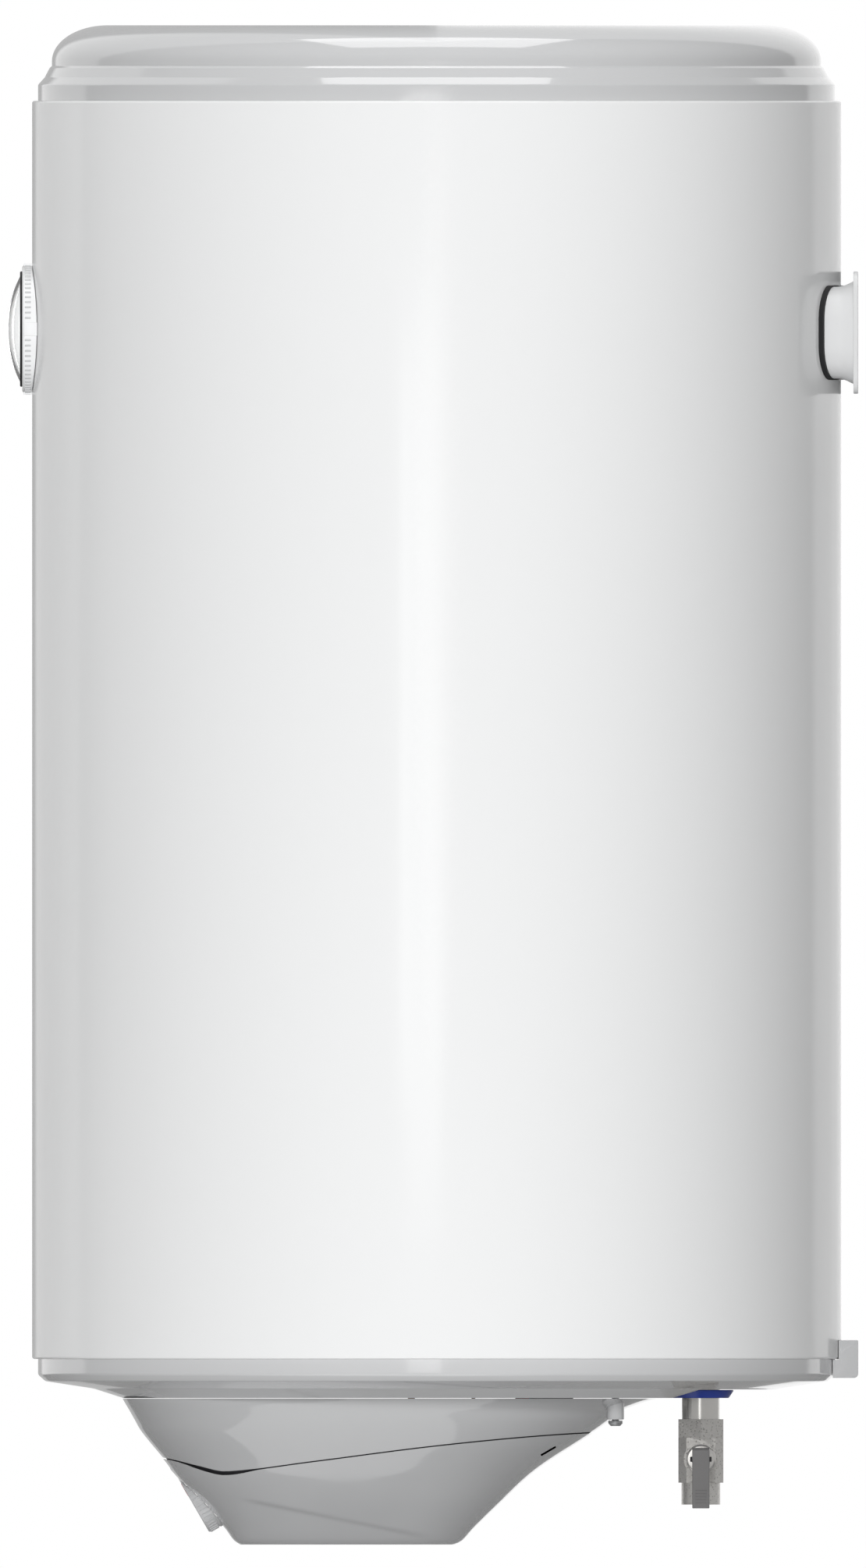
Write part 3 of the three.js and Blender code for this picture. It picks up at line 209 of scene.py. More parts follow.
class HeaterColours(bpy.types.PropertyGroup):
    """Base colours of the finishes."""

    enamel: colour("Jacket enamel", "Paint on the jacket", (0.74, 0.745, 0.747))
    grey: colour("Cap grey", "Plastic of the caps and the spacer", (0.5, 0.504, 0.51))
    # The cover grey is the caps' grey made darker. It is painted shade for the downward-facing cover, the knob and
    # the spacer, which are the same plastic as the caps.
    cover: colour("Cover grey", "Plastic of the control cover", (0.37, 0.373, 0.378))
    dark: colour("Lever grey", "Plastic of the relief lever", (0.125, 0.123, 0.123))
    cold: colour("Cold blue", "Ring on the cold pipe", (0.012, 0.03, 0.2))
    hot: colour("Hot red", "Ring on the hot pipe, the lamp and the reset button", (0.42, 0.014, 0.016))
    nickel: colour("Nickel", "Plated brass of the valve and the pipes", (0.7, 0.685, 0.66))
    bracket: colour("Bracket paint", "Paint on the wall bracket", (0.58, 0.584, 0.588))


GROUPS = {
    "heater_case": HeaterCase,
    "heater_controls": HeaterControls,
    "heater_plumbing": HeaterPlumbing,
    "heater_colours": HeaterColours,
}


# ---- Trees ----


def add(tree, kind, inputs=None, **settings):
    """A node with its settings, and its inputs as values or as other nodes' outputs."""
    node = tree.nodes.new(kind)
    for key, value in settings.items():
        setattr(node, key, value)
    for key, value in (inputs or {}).items():
        if isinstance(value, bpy.types.NodeSocket):
            tree.links.new(value, node.inputs[key])
        else:
            node.inputs[key].default_value = value
    return node


def maths(tree, operation, first, second=0.0, third=0.0):
    return add(tree, "ShaderNodeMath", {0: first, 1: second, 2: third}, operation=operation).outputs[0]


def open_group(name, kind, inputs, outputs):
    """An empty node group with named sockets, and its two end nodes."""
    tree = bpy.data.node_groups.new(name, kind)
    for label, socket, value in inputs:
        made = tree.interface.new_socket(name=label, in_out="INPUT", socket_type=socket)
        if value is not None:
            made.default_value = value
    for label, socket in outputs:
        tree.interface.new_socket(name=label, in_out="OUTPUT", socket_type=socket)
    return tree, tree.nodes.new("NodeGroupInput"), tree.nodes.new("NodeGroupOutput")


def group(name, build):
    return bpy.data.node_groups.get(name) or build(name)


# ---- Effects that several materials share ----


def tone_group(name):
    """Slow drift of colour and gloss over a moulded or painted surface, with fine wiping marks."""
    tree, start, end = open_group(
        name,
        "ShaderNodeTree",
        [
            ("Color", "NodeSocketColor", (0.5, 0.5, 0.5, 1)),
            ("Shade", "NodeSocketFloat", 0.05),
            ("Roughness", "NodeSocketFloat", 0.3),
            ("Spread", "NodeSocketFloat", 0.06),
            ("Scale", "NodeSocketFloat", 9.0),
        ],
        [("Color", "NodeSocketColor"), ("Roughness", "NodeSocketFloat")],
    )
    place = add(tree, "ShaderNodeTexCoord").outputs["Object"]
    drift = add(tree, "ShaderNodeTexNoise", {"Vector": place, "Scale": start.outputs["Scale"], "Detail": 3.0})
    wiped = add(tree, "ShaderNodeMapping", {"Vector": place, "Scale": (40.0, 40.0, 7.0)})
    marks = add(tree, "ShaderNodeTexNoise", {"Vector": wiped.outputs[0], "Scale": 6.0, "Detail": 4.0})
    centred = maths(tree, "SUBTRACT", drift.outputs["Fac"], 0.5)
    shade = maths(tree, "MULTIPLY_ADD", centred, start.outputs["Shade"], 1.0)
    toned = add(tree, "ShaderNodeVectorMath", {0: start.outputs["Color"]}, operation="SCALE")
    tree.links.new(shade, toned.inputs["Scale"])
    tree.links.new(toned.outputs["Vector"], end.inputs["Color"])
    both = maths(tree, "SUBTRACT", maths(tree, "ADD", drift.outputs["Fac"], marks.outputs["Fac"]), 1.0)
    gloss = maths(tree, "MULTIPLY_ADD", both, start.outputs["Spread"], start.outputs["Roughness"])
    tree.links.new(gloss, end.inputs["Roughness"])
    return tree


def grain_group(name):
    """Height of a fine surface grain: a soft ripple with a sharper grain on it."""
    tree, start, end = open_group(
        name,
        "ShaderNodeTree",
        [
            ("Ripple", "NodeSocketFloat", 300.0),
            ("Grain", "NodeSocketFloat", 1500.0),
            ("Balance", "NodeSocketFloat", 0.3),
        ],
        [("Height", "NodeSocketFloat")],
    )
    place = add(tree, "ShaderNodeTexCoord").outputs["Object"]
    ripple = add(tree, "ShaderNodeTexNoise", {"Vector": place, "Scale": start.outputs["Ripple"]})
    grain = add(tree, "ShaderNodeTexNoise", {"Vector": place, "Scale": start.outputs["Grain"], "Detail": 4.0})
    fine = maths(tree, "MULTIPLY", grain.outputs["Fac"], start.outputs["Balance"])
    tree.links.new(maths(tree, "ADD", ripple.outputs["Fac"], fine), end.inputs["Height"])
    return tree


def speckle_group(name):
    """Mask of small pits and dark specks, as on castings, foam and rubber."""
    tree, start, end = open_group(
        name,
        "ShaderNodeTree",
        [("Scale", "NodeSocketFloat", 400.0), ("Share", "NodeSocketFloat", 0.2)],
        [("Mask", "NodeSocketFloat")],
    )
    place = add(tree, "ShaderNodeTexCoord").outputs["Object"]
    cells = add(tree, "ShaderNodeTexVoronoi", {"Vector": place, "Scale": start.outputs["Scale"]})
    ramp = maths(tree, "SUBTRACT", start.outputs["Share"], cells.outputs["Distance"])
    mask = add(tree, "ShaderNodeClamp", {"Value": maths(tree, "MULTIPLY", ramp, 6.0)})
    tree.links.new(mask.outputs[0], end.inputs["Mask"])
    return tree


GLOSS = {"IOR": 1.6, "Coat Weight": 0.7, "Coat Roughness": 0.03}

# Name: colour, metallic, roughness, its spread, spread of shade, grain (ripple, grain, balance),
# bump in mm, pits (scale, share) and what else the shader is given.
FINISHES = {
    "white_enamel": ("enamel", 0, 0.13, 0.03, 0.01, (420, 1700, 0.12), 0.0015, None, {"IOR": 1.5}),
    "grey_plastic": ("grey", 0, 0.1, 0.03, 0.02, (110, 2300, 0.05), 0.0015, None, GLOSS),
    # The same plastic as grey_plastic in a darker colour: painted shade on the cover, the knob and the spacer.
    "cover_plastic": ("cover", 0, 0.1, 0.03, 0.02, (110, 2300, 0.05), 0.0015, None, GLOSS),
    "dark_plastic": ("dark", 0, 0.45, 0.12, 0.12, (700, 2600, 0.8), 0.02, None, {}),
    "black_plastic": ((0.016, 0.016, 0.018), 0, 0.42, 0.1, 0.15, (700, 2600, 0.8), 0.02, None, {}),
    "white_plastic": ((0.8, 0.8, 0.79), 0, 0.32, 0.08, 0.03, (400, 2400, 0.4), 0.006, None, {}),
    "bezel_plastic": ((0.74, 0.745, 0.75), 0, 0.2, 0.06, 0.02, (300, 2400, 0.3), 0.004, None, {}),
    "dial_white": ((0.88, 0.88, 0.86), 0, 0.55, 0.05, 0.02, (600, 2400, 0.6), 0.004, None, {}),
    "dial_blue": ("cold", 0, 0.5, 0.05, 0.08, (600, 2400, 0.6), 0.003, None, {}),
    "dial_red": ("hot", 0, 0.5, 0.05, 0.08, (600, 2400, 0.6), 0.003, None, {}),
    "dial_black": ((0.01, 0.01, 0.011), 0, 0.5, 0.05, 0.1, (600, 2400, 0.6), 0.003, None, {}),
    "foam": ((0.75, 0.6, 0.27), 0, 0.92, 0.05, 0.25, (160, 900, 0.8), 0.6, (240, 0.3), {}),
    "tank_enamel": ((0.03, 0.075, 0.13), 0, 0.35, 0.12, 0.2, (260, 1500, 0.5), 0.03, None, {}),
    "zinc_steel": ((0.55, 0.56, 0.57), 1, 0.34, 0.14, 0.14, (500, 1800, 0.7), 0.02, None, {}),
    "nickel_cast": ("nickel", 1, 0.34, 0.16, 0.5, (520, 1500, 0.9), 0.12, (700, 0.3), {}),
    "nickel_turned": ("nickel", 1, 0.2, 0.08, 0.06, (90, 2600, 0.3), 0.006, None, {}),
    "copper": ((0.62, 0.24, 0.11), 1, 0.33, 0.14, 0.25, (300, 1600, 0.6), 0.02, None, {}),
    "magnesium": ((0.3, 0.31, 0.32), 0.9, 0.6, 0.14, 0.25, (350, 1400, 0.9), 0.06, (600, 0.2), {}),
    "rubber": ((0.012, 0.012, 0.013), 0, 0.72, 0.1, 0.3, (500, 2000, 0.9), 0.03, (1400, 0.16), {}),
    "blue_plastic": ("cold", 0, 0.3, 0.08, 0.1, (500, 2200, 0.5), 0.008, None, {}),
    "red_plastic": ("hot", 0, 0.3, 0.08, 0.1, (500, 2200, 0.5), 0.008, None, {}),
    "bracket_paint": ("bracket", 0, 0.36, 0.08, 0.03, (500, 1500, 0.5), 0.012, None, {}),
}


def base_colour(choice):
    own = getattr(bpy.context.scene.heater_colours, choice) if isinstance(choice, str) else choice
    return (*own, 1)


def finish(name):
    """The material of that name, made when it is first asked for."""
    label = f"heater_{name}"
    if label in bpy.data.materials:
        return bpy.data.materials[label]
    if name in GLASSES:
        return glass(name)
    choice, metallic, roughness, spread, shade, grain, bump, pits, plain = FINISHES[name]
    made, tree, shader = empty_material(label)
    shader.inputs["Metallic"].default_value = metallic
    for label, value in plain.items():
        shader.inputs[label].default_value = value
    tone = use_group(
        tree,
        group("surface tone", tone_group),
        {"Color": base_colour(choice), "Shade": shade, "Roughness": roughness, "Spread": spread},
    )
    surface = tone.outputs["Color"]
    ripple, fine, balance = grain
    grains = {"Ripple": ripple, "Grain": fine, "Balance": balance}
    relief = use_group(tree, group("fine grain", grain_group), grains).outputs["Height"]
    if pits:
        scale, share = pits
        specks = {"Scale": scale, "Share": share}
        mask = use_group(tree, group("pits", speckle_group), specks).outputs["Mask"]
        surface = darkened(tree, surface, mask)
        relief = maths(tree, "SUBTRACT", relief, mask)
    tree.links.new(surface, shader.inputs["Base Color"])
    tree.links.new(tone.outputs["Roughness"], shader.inputs["Roughness"])
    bumped = add(tree, "ShaderNodeBump", {"Height": relief, "Distance": bump * MM, "Strength": 1.0})
    tree.links.new(bumped.outputs["Normal"], shader.inputs["Normal"])
    return made


def use_group(tree, inner, values):
    node = tree.nodes.new("ShaderNodeGroup")
    node.node_tree = inner
    for label, value in values.items():
        node.inputs[label].default_value = value
    return node


def darkened(tree, surface, mask):
    """The colour made darker where the mask is one."""
    share = maths(tree, "MULTIPLY_ADD", mask, -0.35, 1.0)
    scaled = add(tree, "ShaderNodeVectorMath", {0: surface}, operation="SCALE")
    tree.links.new(share, scaled.inputs["Scale"])
    return scaled.outputs["Vector"]


def empty_material(name):
    made = bpy.data.materials.new(name)
    made.use_nodes = True
    tree = made.node_tree
    tree.nodes.clear()
    shader = tree.nodes.new("ShaderNodeBsdfPrincipled")
    end = tree.nodes.new("ShaderNodeOutputMaterial")
    tree.links.new(shader.outputs[0], end.inputs["Surface"])
    return made, tree, shader


# Name: colour, roughness, IOR and how much light passes.
GLASSES = {
    "lens": ((0.985, 0.99, 0.99), 0.01, 1.14, 1.0),
    "lamp_red": ((0.85, 0.05, 0.04), 0.12, 1.49, 0.75),
}


def glass(name):
    own, roughness, ior, passing = GLASSES[name]
    made, tree, shader = empty_material(f"heater_{name}")
    shader.inputs["Base Color"].default_value = (*own, 1)
    shader.inputs["IOR"].default_value = ior
    shader.inputs["Transmission Weight"].default_value = passing
    tone = use_group(
        tree,
        group("surface tone", tone_group),
        {"Color": (*own, 1), "Shade": 0.01, "Roughness": roughness, "Spread": 0.02},
    )
    tree.links.new(tone.outputs["Roughness"], shader.inputs["Roughness"])
    return made


# ---- Mesh helpers ----


def rounded(path, closed=True, steps=6):
    """An outline with its corners rounded. Each corner is (across, up, radius)."""
    points = []
    count = len(path)
    for i, (across, up, radius) in enumerate(path):
        here = Vector((across, up))
        if radius == 0 or (not closed and i in (0, count - 1)):
            points.append(here)
            continue
        back = Vector(path[i - 1][:2]) - here
        onward = Vector(path[(i + 1) % count][:2]) - here
        half = back.angle(onward) / 2
        reach = min(radius / math.tan(half), 0.48 * back.length, 0.48 * onward.length)
        start = here + back.normalized() * reach
        end = here + onward.normalized() * reach
        centre = here + (back.normalized() + onward.normalized()).normalized() * reach / math.cos(half)
        sweep = math.pi - 2 * half
        for k in range(steps + 1):
            share = k / steps
            first = (start - centre) * math.sin((1 - share) * sweep)
            second = (end - centre) * math.sin(share * sweep)
            points.append(centre + (first + second) / math.sin(sweep))
    return [(point.x, point.y) for point in points]


def turned(outline, sides=128, name="turned"):
    """A piece turned round Z from (radius, height) points. It closes on itself, or on the axis."""
    shape = bmesh.new()
    rings = []
    for radius, height in outline:
        if radius < 1e-7:
            rings.append([shape.verts.new((0, 0, height))])
            continue
        ring = [
            shape.verts.new((radius * math.cos(i * TAU / sides), radius * math.sin(i * TAU / sides), height))
            for i in range(sides)
        ]
        rings.append(ring)
    pairs = list(zip(rings, rings[1:]))
    if len(rings[0]) > 1:
        pairs.append((rings[-1], rings[0]))
    for low, high in pairs:
        for i in range(sides):
            k = (i + 1) % sides
            if len(low) == 1 and len(high) == 1:
                break
            if len(low) == 1:
                shape.faces.new((low[0], high[i], high[k]))
            elif len(high) == 1:
                shape.faces.new((low[i], low[k], high[0]))
            else:
                shape.faces.new((low[i], low[k], high[k], high[i]))
    return close_up(shape, name)


def plug(radius, low, high, sides=48, name="turned"):
    """A plain round bar along Z."""
    return turned([(0, low), (radius, low), (radius, high), (0, high)], sides, name)


def lofted(rings, name="lofted"):
    """A closed skin over rings of points, with a flat face at both ends."""
    shape = bmesh.new()
    made = [[shape.verts.new(point) for point in ring] for ring in rings]
    count = len(rings[0])
    for low, high in zip(made, made[1:]):
        for i in range(count):
            k = (i + 1) % count
            shape.faces.new((low[i], low[k], high[k], high[i]))
    shape.faces.new(made[0][::-1])
    shape.faces.new(made[-1])
    return close_up(shape, name)


def placed(name, data):
    """A new object in the scene."""
    made = bpy.data.objects.new(name, data)
    bpy.context.scene.collection.objects.link(made)
    return made


def shift(x, y, z):
    return Matrix.Translation((x, y, z))


def close_up(shape, name):
    """The finished mesh as an object: doubles merged, faces pointing out."""
    bmesh.ops.remove_doubles(shape, verts=shape.verts, dist=1e-7)
    bmesh.ops.recalc_face_normals(shape, faces=shape.faces)
    mesh = bpy.data.meshes.new(name)
    shape.to_mesh(mesh)
    shape.free()
    return placed(name, mesh)


def cut_sheet(outlines, low, high, bevel=0.0, name="sheet", steps=3):
    """A flat piece in XY with its holes, from low to high in Z, with rounded edges."""
    curve = bpy.data.curves.new(name, "CURVE")
    curve.dimensions = "2D"
    curve.fill_mode = "BOTH"
    curve.extrude = (high - low) / 2 - bevel
    curve.bevel_depth = bevel
    curve.bevel_resolution = steps
    curve.offset = -bevel
    for outline in outlines:
        spline = curve.splines.new("POLY")
        spline.points.add(len(outline) - 1)
        spline.use_cyclic_u = True
        for point, (across, up) in zip(spline.points, outline):
            point.co = (across, up, 0, 1)
    made = from_evaluated(placed(name, curve), name)
    made.data.transform(shift(0, 0, (low + high) / 2))
    shape = bmesh.new()
    shape.from_mesh(made.data)
    bmesh.ops.remove_doubles(shape, verts=shape.verts, dist=2e-6)
    bmesh.ops.recalc_face_normals(shape, faces=shape.faces)
    shape.to_mesh(made.data)
    shape.free()
    return made


def from_evaluated(holder, name):
    """A plain mesh object from what the holder's modifiers or curve make. The holder goes."""
    graph = bpy.context.evaluated_depsgraph_get()
    graph.update()
    mesh = bpy.data.meshes.new_from_object(holder.evaluated_get(graph))
    bpy.data.objects.remove(holder)
    mesh.name = name
    return placed(name, mesh)


def rectangle(width, height, radius, centre=(0, 0), steps=8):
    x, y = width / 2, height / 2
    ends = [(-x, -y), (x, -y), (x, y), (-x, y)]
    return rounded([(a + centre[0], b + centre[1], radius) for a, b in ends], steps=steps)


def solid(name, kind, *tools):
    """The first object cut by, or joined with, the others, which go."""
    modifier_kind = {"cut": "DIFFERENCE", "join": "UNION", "common": "INTERSECT"}[kind]
    base, *others = tools
    for tool in others:
        modifier = base.modifiers.new("solid", "BOOLEAN")
        modifier.operation = modifier_kind
        modifier.solver = "EXACT"
        modifier.object = tool
        tool.hide_render = True
    made = from_evaluated(base, name)
    for tool in others:
        bpy.data.objects.remove(tool)
    return made


def merged(name, *parts):
    """Several loose shells as one object."""
    shape = bmesh.new()
    for part in parts:
        shape.from_mesh(part.data)
        bpy.data.objects.remove(part)
    mesh = bpy.data.meshes.new(name)
    shape.to_mesh(mesh)
    shape.free()
    return placed(name, mesh)


def moved(made, matrix):
    made.data.transform(matrix)
    if matrix.determinant() < 0:
        made.data.flip_normals()
    return made


def soften(made, width, segments=2, angle=35):
    """Rounds the sharp edges with a bevel that is made part of the mesh."""
    name = made.name
    bevel = made.modifiers.new("edges", "BEVEL")
    bevel.width = width
    bevel.segments = segments
    bevel.limit_method = "ANGLE"
    bevel.angle_limit = math.radians(angle)
    bevel.use_clamp_overlap = True
    return from_evaluated(made, name)


def mend(mesh):
    """Closes the slits that cutting can leave, and turns every face outwards."""
    shape = bmesh.new()
    shape.from_mesh(mesh)
    bmesh.ops.remove_doubles(shape, verts=shape.verts, dist=2e-7)
    bmesh.ops.dissolve_degenerate(shape, edges=shape.edges, dist=2e-7)
    rims = [edge for edge in shape.edges if edge.is_boundary]
    bmesh.ops.holes_fill(shape, edges=rims, sides=0)
    wires = [edge for edge in shape.edges if edge.is_wire]
    bmesh.ops.delete(shape, geom=wires, context="EDGES")
    bmesh.ops.recalc_face_normals(shape, faces=shape.faces)
    for face in shape.faces:
        face.material_index = 0
    shape.to_mesh(mesh)
    shape.free()


def piece(made, name, body, coat, slot, *nodes, angle=32):
    """Gives a finished shape its name, place, finish, body and the nodes that it stands for."""
    made.name = name
    made.data.name = name
    made.data.transform(Matrix.Translation(TANK))
    mend(made.data)
    made.data.shade_smooth()
    made.data.set_sharp_from_angle(angle=math.radians(angle))
    made.data.materials.clear()
    made.data.materials.append(finish(coat))
    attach(made, body)
    if nodes:
        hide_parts(*nodes)
    return made


FRONT = Matrix.Rotation(math.pi / 2, 4, "X")
RIGHT = Matrix.Rotation(math.pi / 2, 4, "Y")
SIDE = Matrix(((0, 0, 1, 0), (1, 0, 0, 0), (0, 1, 0, 0), (0, 0, 0, 1)))
KNOB = Matrix.Translation(KNOB_FACE) @ Vector((0, 0, 1)).rotation_difference(KNOB_OUTWARD).to_matrix().to_4x4()
GAUGE = shift(0, 0, GAUGE_Z) @ FRONT
COLD = shift(PIPE.x, PIPE.y, 0)
BRANCH = shift(PIPE.x, PIPE.y, BRANCH_Z) @ RIGHT


# ---- Geometry Nodes ----


def on_circle(tree, angle, radius, height):
    """A point on a circle round Z."""
    across = maths(tree, "MULTIPLY", maths(tree, "COSINE", angle), radius)
    along = maths(tree, "MULTIPLY", maths(tree, "SINE", angle), radius)
    return add(tree, "ShaderNodeCombineXYZ", {"X": across, "Y": along, "Z": height}).outputs[0]


def ring_tree(name):
    """Blocks that stand on a circle and face outwards, every so many of them longer."""
    tree, start, end = open_group(
        name,
        "GeometryNodeTree",
        [
            ("Count", "NodeSocketInt", 12),
            ("Radius", "NodeSocketFloat", 0.02),
            ("Start Angle", "NodeSocketFloat", 0.0),
            ("Sweep", "NodeSocketFloat", TAU),
            ("Size", "NodeSocketVector", (0.001, 0.001, 0.001)),
            ("Height", "NodeSocketFloat", 0.0),
            ("Long Every", "NodeSocketInt", 1),
            ("Long Share", "NodeSocketFloat", 1.0),
            ("Material", "NodeSocketMaterial", None),
        ],
        [("Geometry", "NodeSocketGeometry")],
    )
    given = start.outputs
    points = add(tree, "GeometryNodePoints", {"Count": given["Count"]}).outputs[0]
    index = add(tree, "GeometryNodeInputIndex").outputs[0]
    step = maths(tree, "DIVIDE", given["Sweep"], given["Count"])
    angle = maths(tree, "MULTIPLY_ADD", index, step, given["Start Angle"])
    place = on_circle(tree, angle, given["Radius"], given["Height"])
    turn = add(tree, "ShaderNodeCombineXYZ", {"Z": angle}).outputs[0]
    set_out = add(tree, "GeometryNodeSetPosition", {"Geometry": points, "Position": place}).outputs[0]
    block = add(tree, "GeometryNodeMeshCube", {"Size": given["Size"]}).outputs["Mesh"]
    rest = maths(tree, "FLOORED_MODULO", index, given["Long Every"])
    is_long = maths(tree, "COMPARE", rest, 0.0, 0.1)
    stretch = maths(tree, "MULTIPLY_ADD", is_long, maths(tree, "SUBTRACT", given["Long Share"], 1.0), 1.0)
    scale = add(tree, "ShaderNodeCombineXYZ", {"X": stretch, "Y": 1.0, "Z": 1.0}).outputs[0]
    copies = add(
        tree,
        "GeometryNodeInstanceOnPoints",
        {"Points": set_out, "Instance": block, "Rotation": turn, "Scale": scale},
    ).outputs[0]
    return ended(tree, copies, given["Material"], end)


def coil_tree(name):
    """A wire wound round Z: a spring, or the ridge of a thread."""
    tree, start, end = open_group(
        name,
        "GeometryNodeTree",
        [
            ("Turns", "NodeSocketFloat", 5.0),
            ("Radius", "NodeSocketFloat", 0.01),
            ("Rise", "NodeSocketFloat", 0.01),
            ("Wire", "NodeSocketFloat", 0.0005),
            ("Wire Sides", "NodeSocketInt", 8),
            ("Steps", "NodeSocketInt", 40),
            ("Material", "NodeSocketMaterial", None),
        ],
        [("Geometry", "NodeSocketGeometry")],
    )
    given = start.outputs
    line = add(
        tree,
        "GeometryNodeCurveSpiral",
        {
            "Resolution": given["Steps"],
            "Rotations": given["Turns"],
            "Start Radius": given["Radius"],
            "End Radius": given["Radius"],
            "Height": given["Rise"],
        },
    ).outputs[0]
    section = add(
        tree,
        "GeometryNodeCurvePrimitiveCircle",
        {"Resolution": given["Wire Sides"], "Radius": given["Wire"]},
    ).outputs[0]
    wire = add(
        tree,
        "GeometryNodeCurveToMesh",
        {"Curve": line, "Profile Curve": section, "Fill Caps": True},
    ).outputs[0]
    return ended(tree, wire, given["Material"], end)


def marks_tree(name):
    """Round studs on an arc, each larger than the last, dropped along -Z and laid flat on a surface."""
    tree, start, end = open_group(
        name,
        "GeometryNodeTree",
        [
            ("Surface", "NodeSocketObject", None),
            ("Count", "NodeSocketInt", 9),
            ("Radius", "NodeSocketFloat", 0.02),
            ("Start Angle", "NodeSocketFloat", 0.0),
            ("Sweep", "NodeSocketFloat", 4.0),
            ("Stud", "NodeSocketFloat", 0.001),
            ("Growth", "NodeSocketFloat", 0.5),
            ("Material", "NodeSocketMaterial", None),
        ],
        [("Geometry", "NodeSocketGeometry")],
    )
    given = start.outputs
    points = add(tree, "GeometryNodePoints", {"Count": given["Count"]}).outputs[0]
    index = add(tree, "GeometryNodeInputIndex").outputs[0]
    last = maths(tree, "SUBTRACT", given["Count"], 1.0)
    share = maths(tree, "DIVIDE", index, last)
    angle = maths(tree, "MULTIPLY_ADD", share, given["Sweep"], given["Start Angle"])
    above = on_circle(tree, angle, given["Radius"], 0.03)
    surface = add(tree, "GeometryNodeObjectInfo", {"Object": given["Surface"]}, transform_space="ORIGINAL")
    hit = add(
        tree,
        "GeometryNodeRaycast",
        {
            "Target Geometry": surface.outputs["Geometry"],
            "Source Position": above,
            "Ray Direction": (0, 0, -1),
            "Ray Length": 0.06,
        },
    )
    landed = add(
        tree, "GeometryNodeSetPosition", {"Geometry": points, "Position": hit.outputs["Hit Position"]}
    ).outputs[0]
    kept = add(
        tree,
        "GeometryNodeSeparateGeometry",
        {"Geometry": landed, "Selection": hit.outputs["Is Hit"]},
        domain="POINT",
    ).outputs[0]
    normal = hit.outputs["Hit Normal"]
    turn = add(tree, "FunctionNodeAlignRotationToVector", {"Vector": normal}, axis="Z").outputs[0]
    ball = {"Segments": 16, "Rings": 8, "Radius": given["Stud"]}
    stud = add(tree, "GeometryNodeMeshUVSphere", ball).outputs[0]
    size = maths(tree, "MULTIPLY_ADD", share, given["Growth"], 1.0)
    scale = add(tree, "ShaderNodeCombineXYZ", {"X": size, "Y": size, "Z": 0.35}).outputs[0]
    copies = add(
        tree,
        "GeometryNodeInstanceOnPoints",
        {"Points": kept, "Instance": stud, "Rotation": turn, "Scale": scale},
    ).outputs[0]
    return ended(tree, copies, given["Material"], end)


def pair_tree(name):
    """Copies of one piece set in a row."""
    tree, start, end = open_group(
        name,
        "GeometryNodeTree",
        [
            ("Piece", "NodeSocketObject", None),
            ("Count", "NodeSocketInt", 2),
            ("First", "NodeSocketVector", (0, 0, 0)),
            ("Step", "NodeSocketVector", (0.1, 0, 0)),
            ("Material", "NodeSocketMaterial", None),
        ],
        [("Geometry", "NodeSocketGeometry")],
    )
    given = start.outputs
    row = add(
        tree,
        "GeometryNodeMeshLine",
        {"Count": given["Count"], "Start Location": given["First"], "Offset": given["Step"]},
    ).outputs[0]
    inner = add(tree, "GeometryNodeObjectInfo", {"Object": given["Piece"], "As Instance": True})
    copies = add(
        tree, "GeometryNodeInstanceOnPoints", {"Points": row, "Instance": inner.outputs["Geometry"]}
    ).outputs[0]
    return ended(tree, copies, given["Material"], end)


def ended(tree, geometry, coat, end):
    """Every tree ends in real geometry with its material set."""
    real = add(tree, "GeometryNodeRealizeInstances", {"Geometry": geometry}).outputs[0]
    coated = add(tree, "GeometryNodeSetMaterial", {"Geometry": real, "Material": coat}).outputs[0]
    tree.links.new(coated, end.inputs["Geometry"])
    return tree


def grown(name, build, coat, **values):
    """A plain mesh from a Geometry Nodes tree. Underscores in the values' names are spaces."""
    tree = group(build.__name__.replace("_", " "), build)
    holder = placed(name, bpy.data.meshes.new(name))
    modifier = holder.modifiers.new("grown", "NODES")
    modifier.node_group = tree
    sockets = {item.name: item.identifier for item in tree.interface.items_tree if item.in_out == "INPUT"}
    for label, value in values.items():
        modifier[sockets[label.replace("_", " ")]] = value
    modifier[sockets["Material"]] = finish(coat)
    return from_evaluated(holder, name)


# ---- Jacket and caps ----


def bracket_outline(grow_wide, grow_high, flare=0.0):
    """Outline of the bracket's pressed body, wider and higher by that much on each side."""
    width = BRACKET_WIDTH - 14 * MM + 2 * grow_wide + 4 * MM * flare
    height = BRACKET_HEIGHT - 17 * MM + 2 * grow_high + 6.2 * MM * flare
    return rectangle(width, height, 18 * MM + min(grow_wide, grow_high))


SEAM_HALF = 4 * MM
SEAM_FOLD = 3.4 * MM
SEAM_RISE = 0.9 * MM
SEAM_TURN = math.radians(38)
GAUGE_HOLE = 29.5 * MM


